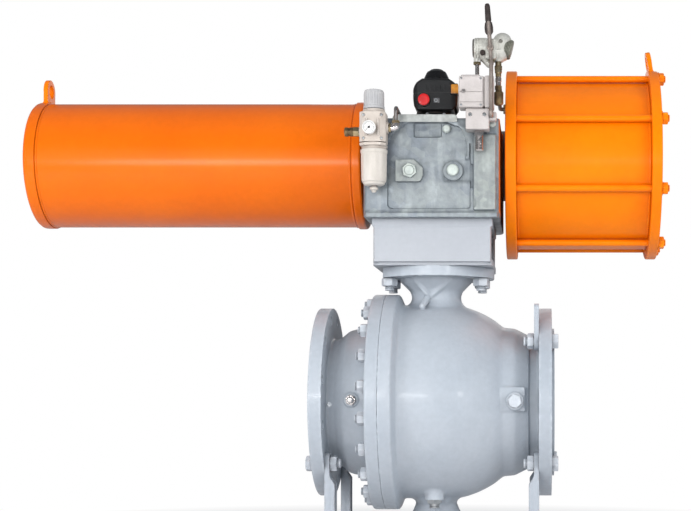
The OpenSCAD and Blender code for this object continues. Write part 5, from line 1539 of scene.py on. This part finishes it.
# outlet elbow
M.lathe([(0, FX + 20), (8.9, FX + 20), (8.9, FX + 36), (0, FX + 36)], 0, c=(FY, 672), seg=36, m=1)
M.join(hexnut(11.6, 6, 5), AX(0, (FX + 35.8, FY, 672)), m=1)
M.sweep([(FX + 38 + 0.0, FY, 672), (FX + 44, FY, 672), (FX + 49, FY, 672.8), (FX + 52.4, FY, 675), (FX + 53.6, FY, 679), (FX + 53.6, FY, 684)], [8.6, 9.2, 10.2, 10.4, 9.6, 9.0], 28)
M.join(hexnut(10.5, 7, 5.05), AX(2, (-84, FY, 683)), m=1)
# supply fitting
M.lathe([(0, FX - 36), (8.9, FX - 36), (8.9, FX - 20), (0, FX - 20)], 0, c=(FY, 662), seg=36, m=1)
M.join(hexnut(12.5, 14), AX(0, (FX - 50, FY, 662)), m=1)
M.lathe([(6.6, FX - 72), (10, FX - 72, 0.6), (11, FX - 70, 0.8), (11, FX - 63, 0.5), (9.8, FX - 62, 0.4), (9.8, FX - 59, 0.4), (11, FX - 58, 0.4), (11, FX - 50), (6.6, FX - 50)], 0, c=(FY, 662), seg=40, m=2)
# silencer with slots
M.join(hexnut(12.6, 13), AX(2, (119, -208, 655)))
M.lathe([(0, 618), (9.5, 618, 1.2), (11, 620.5, 1)] + [q for k in range(7) for q in ((11, 623.5 + 4.3 * k, 0.4), (9.9, 624.2 + 4.3 * k), (9.9, 625.8 + 4.3 * k), (11, 626.5 + 4.3 * k, 0.4))] + [(11, 655.4), (0, 655.4)], 2, c=(119, -208), seg=40)
# riser fitting
M.join(hexnut(9.8, 10), AX(2, (166, -195, 771)), m=2)
M.lathe([(0, 781), (6.8, 781, 0.4), (6.8, 790, 0.4), (7.6, 791, 0.5), (7.6, 800, 0.6), (6.8, 801, 0.4), (6.8, 803), (0, 803)], 2, c=(166, -195), seg=40)
M.lathe([(0, 733), (8, 733, 2), (11.6, 737, 2), (11.6, 764, 2), (8, 768, 0.5), (8, 772), (0, 772)], 2, c=(167, -195), seg=40, m=2)
# inner plate port fitting
M.lathe([(4, 174), (7.9, 174), (7.9, 190), (4, 190)], 0, c=(-20, 757), seg=36)
M.join(hexnut(13, 6.6, 7.95), AX(0, (174, -20, 757)), m=1)
build("tube_fittings_turned", M, [MT["chrome"], MT["brass"], MT["brass_dark"]], "frame", ["tube_fittings"])

# ---------------------------------------------------------------- return spring, shortened by the piston
M = Mesh()
N = 9 * 48
x0, x1 = -984.0, -214.0
line = []
for i in range(N + 1):
    t = i / N
    a = 2 * math.pi * 9 * t
    line.append((x0 + 15 + (x1 - x0 - 30) * t, AY + 112 * math.cos(a), AZ + 112 * math.sin(a)))
M.sweep(line, 15, 20)
sp = build("return_spring_coil", M, [MT["spring"]], "frame", ["spring"], wn=False)
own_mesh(sp)

# ---------------------------------------------------------------- carried-over internals
INSIDE = {
    "ball": "polish", "stem": "steel", "bushes": "bronze", "o_rings": "rubber", "lower_trunnion": "steel",
    "seat_ring_left": "steel", "seat_ring_right": "steel", "seat_inserts": "ptfe", "closure_studs": "steel",
    "stem_coupling": "steel", "yoke": "iron", "guide_block": "steel", "yoke_pin": "polish", "slider_blocks": "bronze",
    "guide_bar": "polish", "piston_rod": "polish", "piston": "alu", "piston_seal": "rubber", "spring_plate": "steel"}
for name, key in INSIDE.items():
    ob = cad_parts[name]
    if not ob.material_slots:
        ob.data.materials.append(MT[key])
    for sl in ob.material_slots:
        sl.material = MT[key]
# ---------------------------------------------------------------- stage
sc = bpy.context.scene
sc.view_settings.view_transform = "Standard"
sc.view_settings.look = "None"
sc.view_settings.exposure = 0.0
sc.view_settings.gamma = 1.0

w = bpy.data.worlds.new("studio")
sc.world = w
w.use_nodes = True
nt = w.node_tree
nt.nodes.clear()
wo = nt.nodes.new("ShaderNodeOutputWorld")
bg_cam = nt.nodes.new("ShaderNodeBackground")
bg_cam.inputs[0].default_value = (1, 1, 1, 1)
bg_cam.inputs[1].default_value = 1.0
bg = nt.nodes.new("ShaderNodeBackground")
bg.inputs[0].default_value = (0.93, 0.96, 1.0, 1)
lp = nt.nodes.new("ShaderNodeLightPath")
dim = nt.nodes.new("ShaderNodeMapRange")
dim.inputs["To Min"].default_value = 0.46
dim.inputs["To Max"].default_value = 0.24
nt.links.new(lp.outputs["Is Glossy Ray"], dim.inputs["Value"])
nt.links.new(dim.outputs["Result"], bg.inputs[1])
mx = nt.nodes.new("ShaderNodeMixShader")
nt.links.new(lp.outputs["Is Camera Ray"], mx.inputs[0])
nt.links.new(bg.outputs[0], mx.inputs[1])
nt.links.new(bg_cam.outputs[0], mx.inputs[2])
nt.links.new(mx.outputs[0], wo.inputs[0])


def floor_material():
    n = Nodes("pale_floor")
    sep = n.new("SeparateXYZ")
    n.t.links.new(n.co, sep.inputs[0])
    r2 = n.math("ADD", n.math("POWER", n.math("ADD", sep.outputs[0], 0.2), 2.0), n.math("POWER", sep.outputs[1], 2.0))
    far = n.remap(n.math("SQRT", r2), 1.1, 2.0, 0.0, 1.0)
    n.put(n.b.inputs["Base Color"], n.mix(n.remap(n.noise(3.0, 4.0), 0.35, 0.65), (0.84, 0.84, 0.85, 1), (0.80, 0.80, 0.81, 1)))
    n.b.inputs["Roughness"].default_value = 0.6
    em = n.new("Emission", Strength=1.0)
    em.inputs[0].default_value = (1, 1, 1, 1)
    lpath = n.new("LightPath")
    mixer = n.new("MixShader")
    n.t.links.new(n.math("MULTIPLY", far, lpath.outputs["Is Camera Ray"]), mixer.inputs[0])
    n.t.links.new(n.b.outputs[0], mixer.inputs[1])
    n.t.links.new(em.outputs[0], mixer.inputs[2])
    n.t.links.new(mixer.outputs[0], n.out.inputs[0])
    n.bump([(n.noise(300, 3.0), 0.0001)])
    return n.mat


bm = bmesh.new()
bmesh.ops.create_grid(bm, x_segments=24, y_segments=24, size=14)
me = bpy.data.meshes.new("studio_floor")
bm.to_mesh(me)
bm.free()
floor = bpy.data.objects.new("studio_floor", me)
me.materials.append(floor_material())
sc.collection.objects.link(floor)
floor.location = (0, 0, -0.4102)


def area(name, loc, aim, size, energy, color=(1, 1, 1), size_y=None, gloss=True):
    li = bpy.data.lights.new(name, "AREA")
    li.energy = energy
    li.color = color
    li.shape = "RECTANGLE" if size_y else "SQUARE"
    li.size = size
    if size_y:
        li.size_y = size_y
    ob = bpy.data.objects.new(name, li)
    sc.collection.objects.link(ob)
    ob.location = loc
    ob.rotation_euler = (Vector(aim) - Vector(loc)).to_track_quat("-Z", "Y").to_euler()
    ob.visible_camera = False
    ob.visible_glossy = gloss
    return ob


lights = [
    area("key_front", (-1.0, -4.4, 1.5), (-0.2, 0, 0.35), 3.2, 66, (1, 0.99, 0.98), 1.6, gloss=False),
    area("fill_right", (3.0, -2.4, 1.3), (0.2, 0, 0.3), 1.6, 70, (0.98, 0.99, 1.0), 1.6, gloss=False),
    area("fill_left", (-3.2, -2.2, 0.9), (-0.2, 0, 0.1), 1.6, 64, (0.98, 0.99, 1.0), 1.6, gloss=False),
    area("top", (-0.1, -0.9, 3.4), (-0.1, 0, 0.3), 2.6, 8, (1, 1, 1), 1.8, gloss=False),
    area("strip_left", (-1.2, -3.9, 0.52), (-0.45, 0, 0.5), 1.5, 30, (1, 1, 1), 0.24),
    area("strip_right", (0.63, -3.9, 0.5), (0.45, 0, 0.5), 0.6, 5, (1, 1, 1), 0.24),
    area("square_right", (1.8, -3.6, 0.65), (0.1, 0, 0.05), 0.3, 12, (1, 1, 1)),
    area("back", (0.4, 3.0, 1.6), (0, 0, 0.4), 2.4, 10, (1, 1, 1), 1.2),
]

cam = bpy.data.cameras.new("camera")
cam.lens = 77.106
cam.sensor_width = 36.0
cam.sensor_fit = "HORIZONTAL"
cam.clip_start, cam.clip_end = 0.05, 60
camera = bpy.data.objects.new("camera", cam)
sc.collection.objects.link(camera)
camera.location = (0.2688, -3.848, 0.0182)
camera.rotation_euler = (math.pi / 2, 0, 0)
sc.camera = camera
# The lens shift belongs to the main camera position. Stepped keys on the driver curve,
# from the camera's own Y, drop it to zero when the camera is stood anywhere else.
for prop, val in (("shift_x", -0.28148), ("shift_y", 0.20188)):
    fc = cam.driver_add(prop)
    dr = fc.driver
    dr.type = "AVERAGE"
    var = dr.variables.new()
    var.name = "cam_y"
    var.type = "TRANSFORMS"
    var.targets[0].id = camera
    var.targets[0].transform_type = "LOC_Y"
    var.targets[0].transform_space = "WORLD_SPACE"
    for mod in list(fc.modifiers):
        fc.modifiers.remove(mod)
    while len(fc.keyframe_points):
        fc.keyframe_points.remove(fc.keyframe_points[0])
    for at, v in ((-3.9, 0.0), (-3.87, val), (-3.83, 0.0)):
        key = fc.keyframe_points.insert(at, v)
        key.interpolation = "CONSTANT"
    fc.extrapolation = "CONSTANT"
    fc.update()

bpy.context.view_layer.update()
